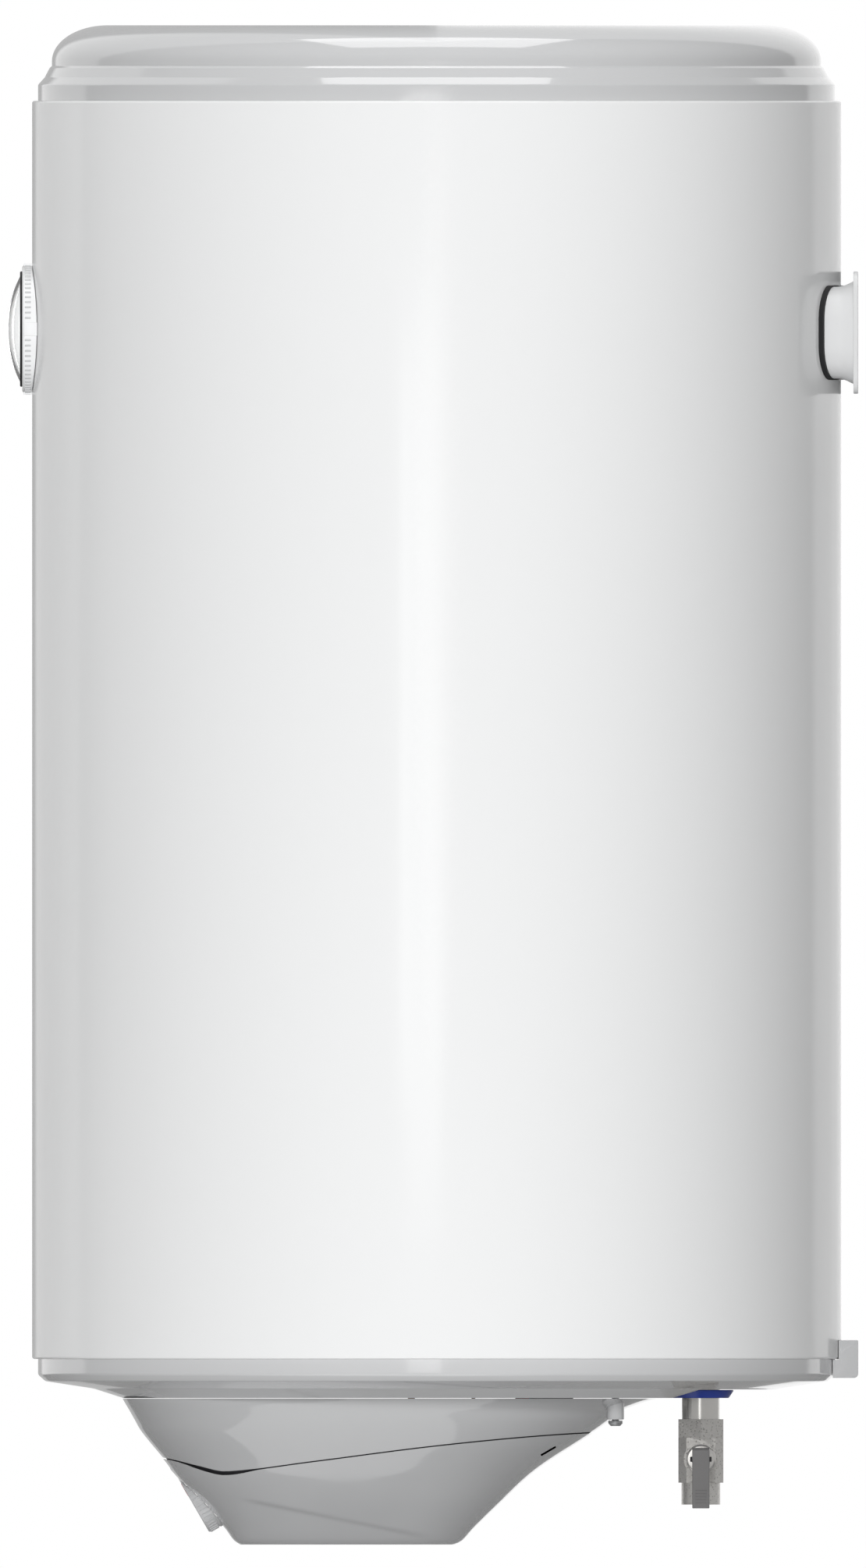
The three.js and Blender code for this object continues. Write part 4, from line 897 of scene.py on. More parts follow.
class HEATER_OT_jacket(bpy.types.Operator):
    """Rolled steel jacket with its hems, its rear seam and the cut-outs for the bracket and the thermometer"""

    bl_idname = "heater.jacket"
    bl_label = "Outer jacket"

    def execute(self, context):
        case = context.scene.heater_case
        outer, rim, bend = JACKET_RADIUS, JACKET_RADIUS - case.hem, case.hem_bend
        inner, wall, lip = JACKET_RADIUS - case.jacket_wall, case.jacket_wall, 0.2 * MM
        half = [(outer, 0, bend), (rim, 0, lip), (rim, wall, lip), (inner, wall, bend - wall)]
        top = [(across, JACKET_HEIGHT - up, radius) for across, up, radius in reversed(half)]
        shell = turned(rounded(half + top), case.sides, "shell")
        hole = moved(cut_sheet([bracket_outline(case.bracket_gap, 0.8 * MM)], -0.26, -0.15), FRONT)
        moved(hole, shift(0, 0, BRACKET.z))
        gauge_hole = plug(GAUGE_HOLE, 0.15, 0.26, 96, "hole")
        shell = solid("shell", "cut", shell, hole, moved(gauge_hole, GAUGE))
        seam = rounded(
            [
                (-SEAM_HALF, 0, 0),
                (-SEAM_FOLD, SEAM_RISE, 0.3 * MM),
                (SEAM_FOLD, SEAM_RISE, 0.3 * MM),
                (SEAM_HALF, 0, 0),
            ],
            closed=False,
            steps=3,
        )
        low, high, inside = 4 * MM, JACKET_HEIGHT - 4 * MM, -0.4 * MM
        section = [*seam, (SEAM_HALF, inside), (-SEAM_HALF, inside)]
        strip = lofted([[Vector((x, outer + up, z)) for x, up in section] for z in (low, high)], "strip")
        moved(strip, Matrix.Rotation(SEAM_TURN, 4, "Z"))
        piece(merged("jacket", shell, strip), "jacket", "heater", "white_enamel", "white_enamel", "outer_jacket")
        return {"FINISHED"}


def top_cap_outline():
    """Outside of the top cap from its skirt to its middle."""
    shoulder = [
        (
            CAP_RADIUS - 38.7 * MM + 31 * MM * math.cos(angle),
            22 * MM + (TOP_RISE - 22 * MM) * math.sin(angle),
        )
        for angle in (i * math.pi / 2 / 20 for i in range(1, 21))
    ]
    side = rounded(
        [
            (CAP_RADIUS, -CAP_SKIRT, 0.5 * MM),
            (CAP_RADIUS, 8.9 * MM, 1.6 * MM),
            (CAP_RADIUS - 3.7 * MM, 13 * MM, 2.5 * MM),
            (CAP_RADIUS - 6.4 * MM, 18.2 * MM, 0.6 * MM),
            (CAP_RADIUS - 7.7 * MM, 19.4 * MM, 0.6 * MM),
            (CAP_RADIUS - 7.7 * MM, 22 * MM, 0),
        ],
        closed=False,
    )
    return [*side, *shoulder, (30 * MM, TOP_RISE), (0, TOP_RISE)]


class HEATER_OT_top_cap(bpy.types.Operator):
    """Moulded top cap with its stepped shoulder"""

    bl_idname = "heater.top_cap"
    bl_label = "Top cap"

    def execute(self, context):
        case = context.scene.heater_case
        wall = case.cap_wall
        outside = top_cap_outline()
        inside = [(max(across - wall, 0), min(up, TOP_RISE - wall)) for across, up in outside]
        inside[-1] = (0, TOP_RISE - wall)
        shell = turned(outside[::-1] + inside, case.sides, "cap")
        moved(shell, shift(0, 0, JACKET_HEIGHT))
        piece(shell, "top_lid", "heater", "grey_plastic", "grey_plastic", "top_cap")
        return {"FINISHED"}


def recess_tools(grow):
    """What raises the rear part of the bottom cap, with a bay round each pipe's ring."""
    ceiling = RING_HIGH.z + 0.3 * MM + grow
    slope = [
        (PIPE.y - 16 * MM - grow, BOTTOM_DROP - 20 * MM),
        (PIPE.y - 16 * MM - grow, BOTTOM_DROP),
        (PIPE.y - grow, ceiling),
        (0.25, ceiling),
        (0.25, BOTTOM_DROP - 20 * MM),
    ]
    slab = moved(cut_sheet([slope], -0.25, 0.25), SIDE)
    radius = (RING_HIGH.x - RING_LOW.x) / 2 + 0.9 * MM + grow
    bays = [
        moved(
            plug(radius, BOTTOM_DROP - 10 * MM, ceiling, 64),
            shift(x, PIPE.y, 0),
        )
        for x in (-PIPE.x, PIPE.x)
    ]
    return [slab, *bays]


class HEATER_OT_bottom_cap(bpy.types.Operator):
    """Moulded bottom cap with its raised rear part, the service opening and the pipe holes"""

    bl_idname = "heater.bottom_cap"
    bl_label = "Bottom cap"

    def execute(self, context):
        case = context.scene.heater_case
        wall = case.cap_wall
        outside = rounded(
            [
                (CAP_RADIUS, CAP_SKIRT, 0.5 * MM),
                (CAP_RADIUS, -8.7 * MM, 2.2 * MM),
                (CAP_RADIUS - 4.1 * MM, -12.3 * MM, 2.5 * MM),
                (CAP_RADIUS - 31 * MM, -16.4 * MM, 18 * MM),
                (CAP_RADIUS - 47.4 * MM, BOTTOM_DROP, 3 * MM),
                (0, BOTTOM_DROP, 0),
            ],
            closed=False,
        )
        outer = turned([(0, CAP_SKIRT), *outside], case.sides, "outer")
        outer = solid("outer", "cut", outer, *recess_tools(0))
        skirt = CAP_RADIUS - 1 * MM
        inside = [(max(x - wall, 0), z + wall if x < skirt else z) for x, z in outside]
        inside[0] = (CAP_RADIUS - wall, CAP_SKIRT + 1 * MM)
        hollow = turned([(0, CAP_SKIRT + 1 * MM), *inside], case.sides, "hollow")
        hollow = solid("hollow", "cut", hollow, *recess_tools(wall))
        opening = plug(case.opening_radius, -0.06, 0, 128)
        moved(opening, shift(0, -5 * MM, 0))
        holes = [
            moved(
                plug(radius, -0.06, 0, 48),
                shift(side_of * x, y, 0),
            )
            for radius, x, y in ((PIPE_RADIUS + 0.6 * MM, PIPE.x, PIPE.y), (2.4 * MM, LUG.x, LUG.y))
            for side_of in (-1, 1)
        ]
        shell = solid("cap", "cut", outer, hollow)
        shell = solid("cap", "cut", shell, opening, *holes)
        piece(shell, "bottom_lid", "heater", "grey_plastic", "grey_plastic", "bottom_cap")
        return {"FINISHED"}


# ---- Wall fixings ----


class HEATER_OT_bracket(bpy.types.Operator):
    """Pressed steel bracket that hangs the heater on two wall hooks"""

    bl_idname = "heater.bracket"
    bl_label = "Wall bracket"

    def execute(self, context):
        case = context.scene.heater_case
        sheet = case.bracket_sheet
        slot_place = BRACKET_WIDTH / 2 * 42 / 78
        slots = [rectangle(14 * MM, 26 * MM, 6 * MM, (side * slot_place, 0)) for side in (-1, 1)]
        outer = rectangle(BRACKET_WIDTH, BRACKET_HEIGHT, 9 * MM)
        plate = cut_sheet([outer, *slots], WALL_Y - sheet, WALL_Y, 0.5 * MM, "plate")
        depths = [(TANK_RADIUS + 0.4 * MM, 0), (WALL_Y - 13 * MM, 0), (WALL_Y - 11 * MM, 0.02)]
        for i in range(1, 9):
            depths.append((WALL_Y - 11 * MM + 8.3 * MM * i / 8, 0.02 + 0.98 * (i / 8) ** 1.6))
        outside, inside = (
            [[Vector((x, z, y)) for x, z in bracket_outline(grow, grow, flare)] for y, flare in depths]
            for grow in (0, -sheet)
        )
        inside[0] = [point - Vector((0, 0, 2 * MM)) for point in inside[0]]
        inside.append([point + Vector((0, 0, 2 * MM)) for point in inside[-1]])
        walls = solid("walls", "cut", lofted(outside, "outside"), lofted(inside, "inside"))
        tank = plug(TANK_RADIUS + 0.3 * MM, -0.1, 0.1, 128)
        moved(tank, Matrix.Rotation(math.pi / 2, 4, "X"))
        walls = solid("walls", "cut", walls, tank)
        made = merged("bracket", plate, walls)
        upright = Matrix(((1, 0, 0, 0), (0, 0, 1, 0), (0, 1, 0, 0), (0, 0, 0, 1)))
        moved(made, shift(0, 0, BRACKET.z) @ upright)
        piece(made, "hanging_bracket", "heater", "bracket_paint", "bracket_paint", "wall_bracket", angle=40)
        # A black ring fills the gap round the bracket in the jacket's cut-out: painted shade, so that the gap shows
        # dark.
        wide, lip = case.bracket_gap - 0.5 * MM, 2.2 * MM
        edges = [bracket_outline(wide, 0.7 * MM), bracket_outline(0.02 * MM, 0.02 * MM)]
        seal = moved(cut_sheet(edges, TANK_RADIUS + 4 * MM, WALL_Y - 5 * MM), upright)
        reach = JACKET_RADIUS + lip
        moved(seal, shift(0, 0, BRACKET.z))
        low, high = BRACKET.z - BRACKET_HEIGHT, BRACKET.z + BRACKET_HEIGHT
        seal = solid("seal", "common", seal, plug(reach, low, high, 288))
        piece(seal, "bracket_seal", "heater", "rubber", "rubber")
        return {"FINISHED"}


class HEATER_OT_spacer(bpy.types.Operator):
    """Block behind the jacket's lower rim that keeps the heater upright"""

    bl_idname = "heater.spacer"
    bl_label = "Rear spacer"

    def execute(self, context):
        low, high = corners("rear_spacer")
        front = CAP_RADIUS - 12 * MM
        outline = rounded(
            [(front, low.z, 0), (WALL_Y, low.z, 2.4 * MM), (WALL_Y, high.z, 0.5 * MM), (front, high.z, 0)]
        )
        block = cut_sheet([outline], low.x, high.x, 0.5 * MM, "block")
        moved(block, SIDE)
        gap = 0.3 * MM
        jacket = plug(JACKET_RADIUS + gap, -gap, 0.02, 288)
        cap = plug(CAP_RADIUS + gap, low.z - gap, 0, 288)
        block = solid("block", "cut", block, jacket, cap)
        # The spacer is cap plastic shown in the darker copy of that grey: painted shade.
        piece(block, "wall_spacer", "heater", "cover_plastic", "grey_plastic", "rear_spacer")
        return {"FINISHED"}


# ---- Control cover ----

# Height, distance in from the front edge and from the rear edge, in mm, and share of the width.
COVER_STATIONS = [
    (-22, 0, 0, 1),
    (-25, 1.7, 10, 0.99),
    (-28.5, 3.8, 19, 0.975),
    (-34, 6.9, 26, 0.955),
    (-39.5, 10, 33.5, 0.93),
    (-47, 15.9, 45, 0.89),
    (-56.8, 24.1, 60.5, 0.83),
    (-65.8, 31, 72.5, 0.77),
    (-80, 45, 87.5, 0.66),
    (-94, 57.4, 102, 0.53),
    (-101, 62.6, 108.5, 0.45),
    (-103.2, 66, 112.5, 0.41),
]


def between(stations, height):
    """The station at a height, on a smooth line through the given ones."""
    heights = [station[0] for station in stations]
    for i in range(len(stations) - 1):
        if heights[i] >= height >= heights[i + 1]:
            break
    t = (heights[i] - height) / (heights[i] - heights[i + 1])
    last = len(stations) - 1
    four = [stations[max(i - 1, 0)], stations[i], stations[i + 1], stations[min(i + 2, last)]]
    values = []
    for k in (1, 2, 3):
        a, b, c, d = (station[k] for station in four)
        span = heights[i] - heights[i + 1]
        before = span / max(four[0][0] - four[2][0], span)
        after = span / max(four[1][0] - four[3][0], span)
        m0, m1 = (c - a) * before, (d - b) * after
        values.append(
            (2 * t**3 - 3 * t**2 + 1) * b
            + (t**3 - 2 * t**2 + t) * m0
            + (3 * t**2 - 2 * t**3) * c
            + (t**3 - t**2) * m1
        )
    return values


def smooth(share):
    share = min(max(share, 0.0), 1.0)
    return share * share * (3 - 2 * share)


# Distance from the tank's middle and height of the line where the two shells meet, in mm.
PARTING = [
    (-195, -48),
    (-149.2, -55.7),
    (-131.5, -60),
    (-117.3, -62.8),
    (-69, -57.1),
    (-11, -49.6),
    (35, -44.7),
    (73, -41.7),
    (143, -38),
]
PARTING_FRONT, PARTING_REAR = PARTING[0][0], PARTING[-1][0]

# How far the lower shell stands back at the line's lowest part, where, and over what length, in mm.
LEDGE_DEPTH = 1.5
LEDGE_PLACE = -121
LEDGE_REACH = 17

# The fold low on each side of the cover: height and place of its front end, in mm, and its slope.
CREASE_HEIGHT = -78.1
CREASE_FRONT = -102.5
CREASE_SLOPE = -17.9 / 88.2
CREASE_DEPTH = 2.6 * MM
CREASE_SOFTNESS = 2.3

LEVEL_STEP = 1.15
SQUARENESS = 0.8


def parting_height(y):
    """Height of the line where the two shells meet, in mm, at a distance y from the tank's middle."""
    stations = [(-along, up, 0, 0) for along, up in PARTING]
    return between(stations, min(max(-y, -PARTING_REAR), -PARTING_FRONT))[0]


def cover_ring(height, wall, count=220, sunk=0.0):
    """One level outline of the cover, in metres. Low on each side a fold runs down to the rear."""
    from_front, from_rear, share = between(COVER_STATIONS, height)
    front = COVER_FRONT + from_front * MM + wall + sunk
    rear = COVER_REAR - from_rear * MM - wall - sunk
    centre, half_length = (front + rear) / 2, (rear - front) / 2
    half_width = COVER_HALF_WIDTH * share - wall - sunk
    ring = []
    for i in range(count):
        angle = i * TAU / count
        across = math.copysign(abs(math.cos(angle)) ** SQUARENESS, math.cos(angle))
        along = math.copysign(abs(math.sin(angle)) ** SQUARENESS, math.sin(angle))
        x, y = half_width * across, centre + half_length * along
        crease = CREASE_HEIGHT + (y / MM - CREASE_FRONT) * CREASE_SLOPE
        ends = smooth((y / MM + 112) / 16) * smooth((2 - y / MM) / 22)
        fold = CREASE_DEPTH * ends * smooth((crease - height) / CREASE_SOFTNESS)
        ring.append(Vector((x - math.copysign(min(fold, abs(x)), x), y, height * MM)))
    return ring


def cover_levels(first, last):
    count = int((first - last) / LEVEL_STEP)
    return [first + (last - first) * i / count for i in range(count + 1)]


def cover_solid(wall, open_top, sunk=0.0):
    """The cover's outside as a solid, or its hollow, which stands above the top."""
    top, floor = COVER_STATIONS[0][0], COVER_STATIONS[-1][0]
    rings = [cover_ring(height, wall, sunk=sunk) for height in cover_levels(top, floor)]
    for point in rings[-1]:
        point.z += wall
    rings = [ring for ring in rings if ring is rings[-1] or ring[0].z > rings[-1][0].z + 0.2 * MM]
    if open_top:
        rings.insert(0, [point + Vector((0, 0, 3 * MM)) for point in rings[0]])
    return lofted(rings, "cover")


def parting_solid(shift, far, ledge=False):
    """Everything above or below the parting line. The lower shell stands back at the line's lowest part."""
    line = []
    for i in range(86):
        y = PARTING_FRONT + (PARTING_REAR - PARTING_FRONT) * i / 85
        dip = LEDGE_DEPTH * math.exp(-(((y - LEDGE_PLACE) / LEDGE_REACH) ** 4)) if ledge else 0
        line.append((y * MM, (parting_height(y) - dip) * MM + shift))
    outline = [*line, (PARTING_REAR * MM, far), (PARTING_FRONT * MM, far)]
    return moved(cut_sheet([outline], -0.16, 0.16), SIDE)


class HEATER_OT_cover_skirt(bpy.types.Operator):
    """Upper shell of the control cover with its two screw lugs"""

    bl_idname = "heater.cover_skirt"
    bl_label = "Cover, upper shell"

    def execute(self, context):
        sizes = context.scene.heater_controls
        shell = solid("skirt", "cut", cover_solid(0, False, 0.5 * MM), cover_solid(sizes.cover_wall, True))
        shell = solid("skirt", "common", shell, parting_solid(sizes.parting / 2, 0))
        low = LUG_END + 3.6 * MM
        inner, outer = 2.4 * MM, 4.8 * MM
        lug = rounded(
            [(inner, low, 0.2 * MM), (outer, low, 0.6 * MM), (outer, COVER_TOP, 0), (inner, COVER_TOP, 0)]
        )
        lugs = [moved(turned(lug, 40, "lug"), shift(side * LUG.x, LUG.y, 0)) for side in (-1, 1)]
        made = merged("skirt", shell, *lugs)
        # The shell is cap plastic in the darker copy of that grey: painted shade on the downward-facing cover.
        piece(made, "cover_upper", "heater", "cover_plastic", "grey_plastic", "control_cover_skirt", angle=28)
        return {"FINISHED"}


LATCH_Y = 62.2 * MM
LATCH_Z = -51.2 * MM
LATCH_SLOPE = math.atan2(4.9, 8.5)


class HEATER_OT_cover_bowl(bpy.types.Operator):
    """Lower shell of the control cover, with the knob's recess, the lamp's hole and the latch slots"""

    bl_idname = "heater.cover_bowl"
    bl_label = "Cover, lower shell"

    def execute(self, context):
        sizes = context.scene.heater_controls
        wall = sizes.cover_wall
        shell = solid("bowl", "cut", cover_solid(0, False), cover_solid(wall, True))
        shell = solid("bowl", "common", shell, parting_solid(-sizes.parting / 2, -0.13, True))
        recess, depth = KNOB_RADIUS + 1 * MM, 10 * MM
        boss = moved(plug(recess + wall, -depth - wall, 20 * MM, 96, "boss"), KNOB)
        boss = solid("boss", "common", boss, cover_solid(0, False))
        boss = solid("boss", "common", boss, parting_solid(-sizes.parting / 2, -0.13, True))
        shell = solid("bowl", "join", shell, boss)
        pit = rounded([(0, -depth, 0), (recess, -depth, 1 * MM), (recess, 30 * MM, 0), (0, 30 * MM, 0)])
        lamp = LAMP_RADIUS + 0.3 * MM
        spindle = 3.6 * MM
        tools = [
            moved(turned(pit, 96, "pit"), KNOB),
            moved(plug(spindle, -depth - 7 * MM, 0, 32), KNOB),
            moved(plug(lamp, -0.02, 0.03, 40), KNOB @ shift(LAMP_X, 0, 0)),
            moved(plug(7 * MM, -0.11, -0.095), shift(GROMMET.x, GROMMET.y, 0)),
        ]
        slit = rectangle(9.6 * MM, 1.1 * MM, 0.5 * MM)
        for side in (-1, 1):
            place = shift(0, LATCH_Y, LATCH_Z) @ Matrix.Rotation(LATCH_SLOPE, 4, "X") @ SIDE
            inner, outer = sorted((side * 20 * MM, side * 140 * MM))
            tools.append(moved(cut_sheet([slit], inner, outer), place))
        shell = solid("bowl", "cut", shell, *tools)
        # The tongue behind the parting gap is its own piece in black plastic: painted shade, so that the gap shows
        # as a dark line.
        tongue = solid("tongue", "cut", cover_solid(1.9 * MM, False), cover_solid(wall + 0.9 * MM, True))
        tongue = solid("tongue", "common", tongue, parting_solid(2.4 * MM, -0.13))
        tongue = solid("tongue", "cut", tongue, parting_solid(-6.5 * MM, -0.13))
        # The lower shell is cap plastic in the darker copy of that grey: painted shade on the downward-facing
        # cover.
        piece(shell, "cover_lower", "heater", "cover_plastic", "grey_plastic", "control_cover_bowl", angle=28)
        piece(tongue, "cover_gasket", "heater", "black_plastic", "black_plastic", angle=28)
        return {"FINISHED"}


class HEATER_OT_cover_fittings(bpy.types.Operator):
    """Cross-head screws, the pilot lamp's lens and the cord's grommet"""

    bl_idname = "heater.cover_fittings"
    bl_label = "Screws, lamp and grommet"

    def execute(self, context):
        head = LUG_END
        outline = rounded(
            [
                (0, head, 0),
                (2.6 * MM, head, 0.6 * MM),
                (4 * MM, head + 1.5 * MM, 0.8 * MM),
                (4 * MM, head + 3 * MM, 0.3 * MM),
                (2 * MM, head + 3 * MM, 0.2 * MM),
                (2 * MM, -16 * MM, 0.4 * MM),
                (0, -16 * MM, 0),
            ],
            closed=False,
        )
        screw = turned(outline, 40, "screw")
        arm, width = 4.4 * MM, 0.9 * MM
        cross = [
            cut_sheet([rectangle(*size, 0.2 * MM)], head - 1 * MM, head + 1.3 * MM)
            for size in ((arm, width), (width, arm))
        ]
        screw = solid("screw", "cut", screw, *cross)
        screw.hide_render = True
        row = {"Piece": screw, "Count": 2, "First": (-LUG.x, LUG.y, 0), "Step": (2 * LUG.x, 0, 0)}
        made = grown("screws", pair_tree, "zinc_steel", **row)
        bpy.data.objects.remove(screw)
        piece(made, "cover_screws", "heater", "zinc_steel", "zinc_steel", "cover_screw_1", "cover_screw_2")

        dome, rise = [(0, 1.6 * MM)], 1.6 * MM
        for angle in (i * math.pi / 16 for i in range(1, 9)):
            dome.append((LAMP_RADIUS * math.sin(angle), rise * math.cos(angle)))
        dome += [(LAMP_RADIUS, -9 * MM), (0, -9 * MM)]
        bowl = bpy.data.objects["cover_lower"]
        above = 0.05
        start = KNOB @ Vector((LAMP_X, 0, above)) + TANK
        beside = KNOB @ Vector((LAMP_X, LAMP_RADIUS + 1 * MM, above)) + TANK
        hit, place, _, _ = bowl.ray_cast(beside, -KNOB_OUTWARD)
        if not hit:
            raise RuntimeError("the lamp finds no surface to stand on")
        lift = above - (place - start).length
        made = moved(turned(dome, 40, "lamp"), KNOB @ shift(LAMP_X, 0, lift))
        piece(made, "lamp_lens", "heater", "lamp_red", "red_plastic", "pilot_lamp")

        low, high = corners("cord_grommet")[0].z, corners("cord_grommet")[1].z
        bore, neck = 4 * MM, 6.7 * MM
        outline = rounded(
            [
                (bore, low, 0.4 * MM),
                (neck - 0.6 * MM, low, 0.5 * MM),
                (neck, low + 1 * MM, 0.4 * MM),
                (neck, high - 2 * MM, 0.2 * MM),
                (neck + 3 * MM, high - 2 * MM, 0.4 * MM),
                (neck + 3 * MM, high, 0.6 * MM),
                (bore, high, 0.4 * MM),
            ]
        )
        made = moved(turned(outline, 56, "grommet"), shift(GROMMET.x, GROMMET.y, 0))
        piece(made, "cord_bush", "heater", "rubber", "rubber", "cord_grommet")
        return {"FINISHED"}


SCALE_HALF = 118


class HEATER_OT_knob(bpy.types.Operator):
    """Thermostat knob with its grip, its ribbed rim and the scale on the cover"""

    bl_idname = "heater.knob"
    bl_label = "Control knob"

    def execute(self, context):
        sizes = context.scene.heater_controls
        depth = 9.4 * MM
        radius, dish = KNOB_RADIUS - 0.5 * MM, sizes.knob_dish
        rim = radius - 2 * MM
        outline = rounded(
            [
                (3.3 * MM, -depth, 0.2 * MM),
                (KNOB_RADIUS, -depth, 0.3 * MM),
                (KNOB_RADIUS, -depth + 2.2 * MM, 0.3 * MM),
                (radius, -depth + 2.5 * MM, 0.3 * MM),
                (radius, 0, 0.9 * MM),
                (rim, 0, 0.5 * MM),
                (rim - 0.8 * MM, -dish, 1 * MM),
                (0.01 * MM, -dish, 0),
                (0.01 * MM, -4 * MM - 0.6 * MM, 0),
                (3.3 * MM, -4 * MM - 0.6 * MM, 0.2 * MM),
            ]
        )
        body = turned(outline, 112, "body")
        waist, tip = 4.2 * MM, 5.4 * MM
        grip = rounded(
            [
                (-waist, 0, 20 * MM),
                (-tip, rim, 1.4 * MM),
                (tip, rim, 1.4 * MM),
                (waist, 0, 20 * MM),
                (tip, -rim, 1.4 * MM),
                (-tip, -rim, 1.4 * MM),
            ]
        )
        bar = cut_sheet([[(x, y * 0.985) for x, y in grip]], -dish - 0.5 * MM, 0, 0.8 * MM, "grip")
        ribs = grown(
            "ribs",
            ring_tree,
            "grey_plastic",
            Count=sizes.knob_ribs,
            Radius=radius,
            Size=(0.9 * MM, 0.9 * MM, depth - 4.2 * MM),
            Height=-(depth - 4.2 * MM) / 2 - 1.1 * MM,
        )
        ribs = soften(ribs, 0.25 * MM)
        made = merged("knob", body, bar, ribs)
        # The knob is cap plastic in the darker copy of that grey: painted shade.
        piece(moved(made, KNOB), "knob_grip", "knob", "cover_plastic", "grey_plastic", "control_knob", angle=35)
        stripe = rectangle(1.5 * MM, 8 * MM, 0.6 * MM, (0, rim - 5.6 * MM))
        line = cut_sheet([stripe], -0.4 * MM, 0.15 * MM, 0.1 * MM)
        piece(moved(line, KNOB), "knob_mark", "knob", "dial_red", "red_plastic")

        bowl = placed("bowl", bpy.data.objects["cover_lower"].data.copy())
        bowl.data.transform(KNOB.inverted() @ Matrix.Translation(-TANK))
        marks = grown(
            "marks",
            marks_tree,
            "white_plastic",
            Surface=bowl,
            Count=sizes.scale_marks,
            Radius=KNOB_RADIUS + 5.2 * MM,
            Start_Angle=math.radians(90 + SCALE_HALF),
            Sweep=math.radians(-2 * SCALE_HALF),
            Stud=0.75 * MM,
            Growth=0.9,
        )
        bpy.data.objects.remove(bowl)
        piece(moved(marks, KNOB), "temperature_scale", "heater", "white_plastic", "white_plastic", angle=60)
        return {"FINISHED"}


# ---- Thermometer ----


DIAL_START = math.radians(225)
DIAL_SWEEP = math.radians(-270)
NEEDLE_REST = math.radians(135)
BAND_RADII = (23.2 * MM, 25.2 * MM)
TICK_RADIUS = 21.6 * MM
NUMBER_RADIUS = 16 * MM
SEAL_WIRE = 0.75 * MM


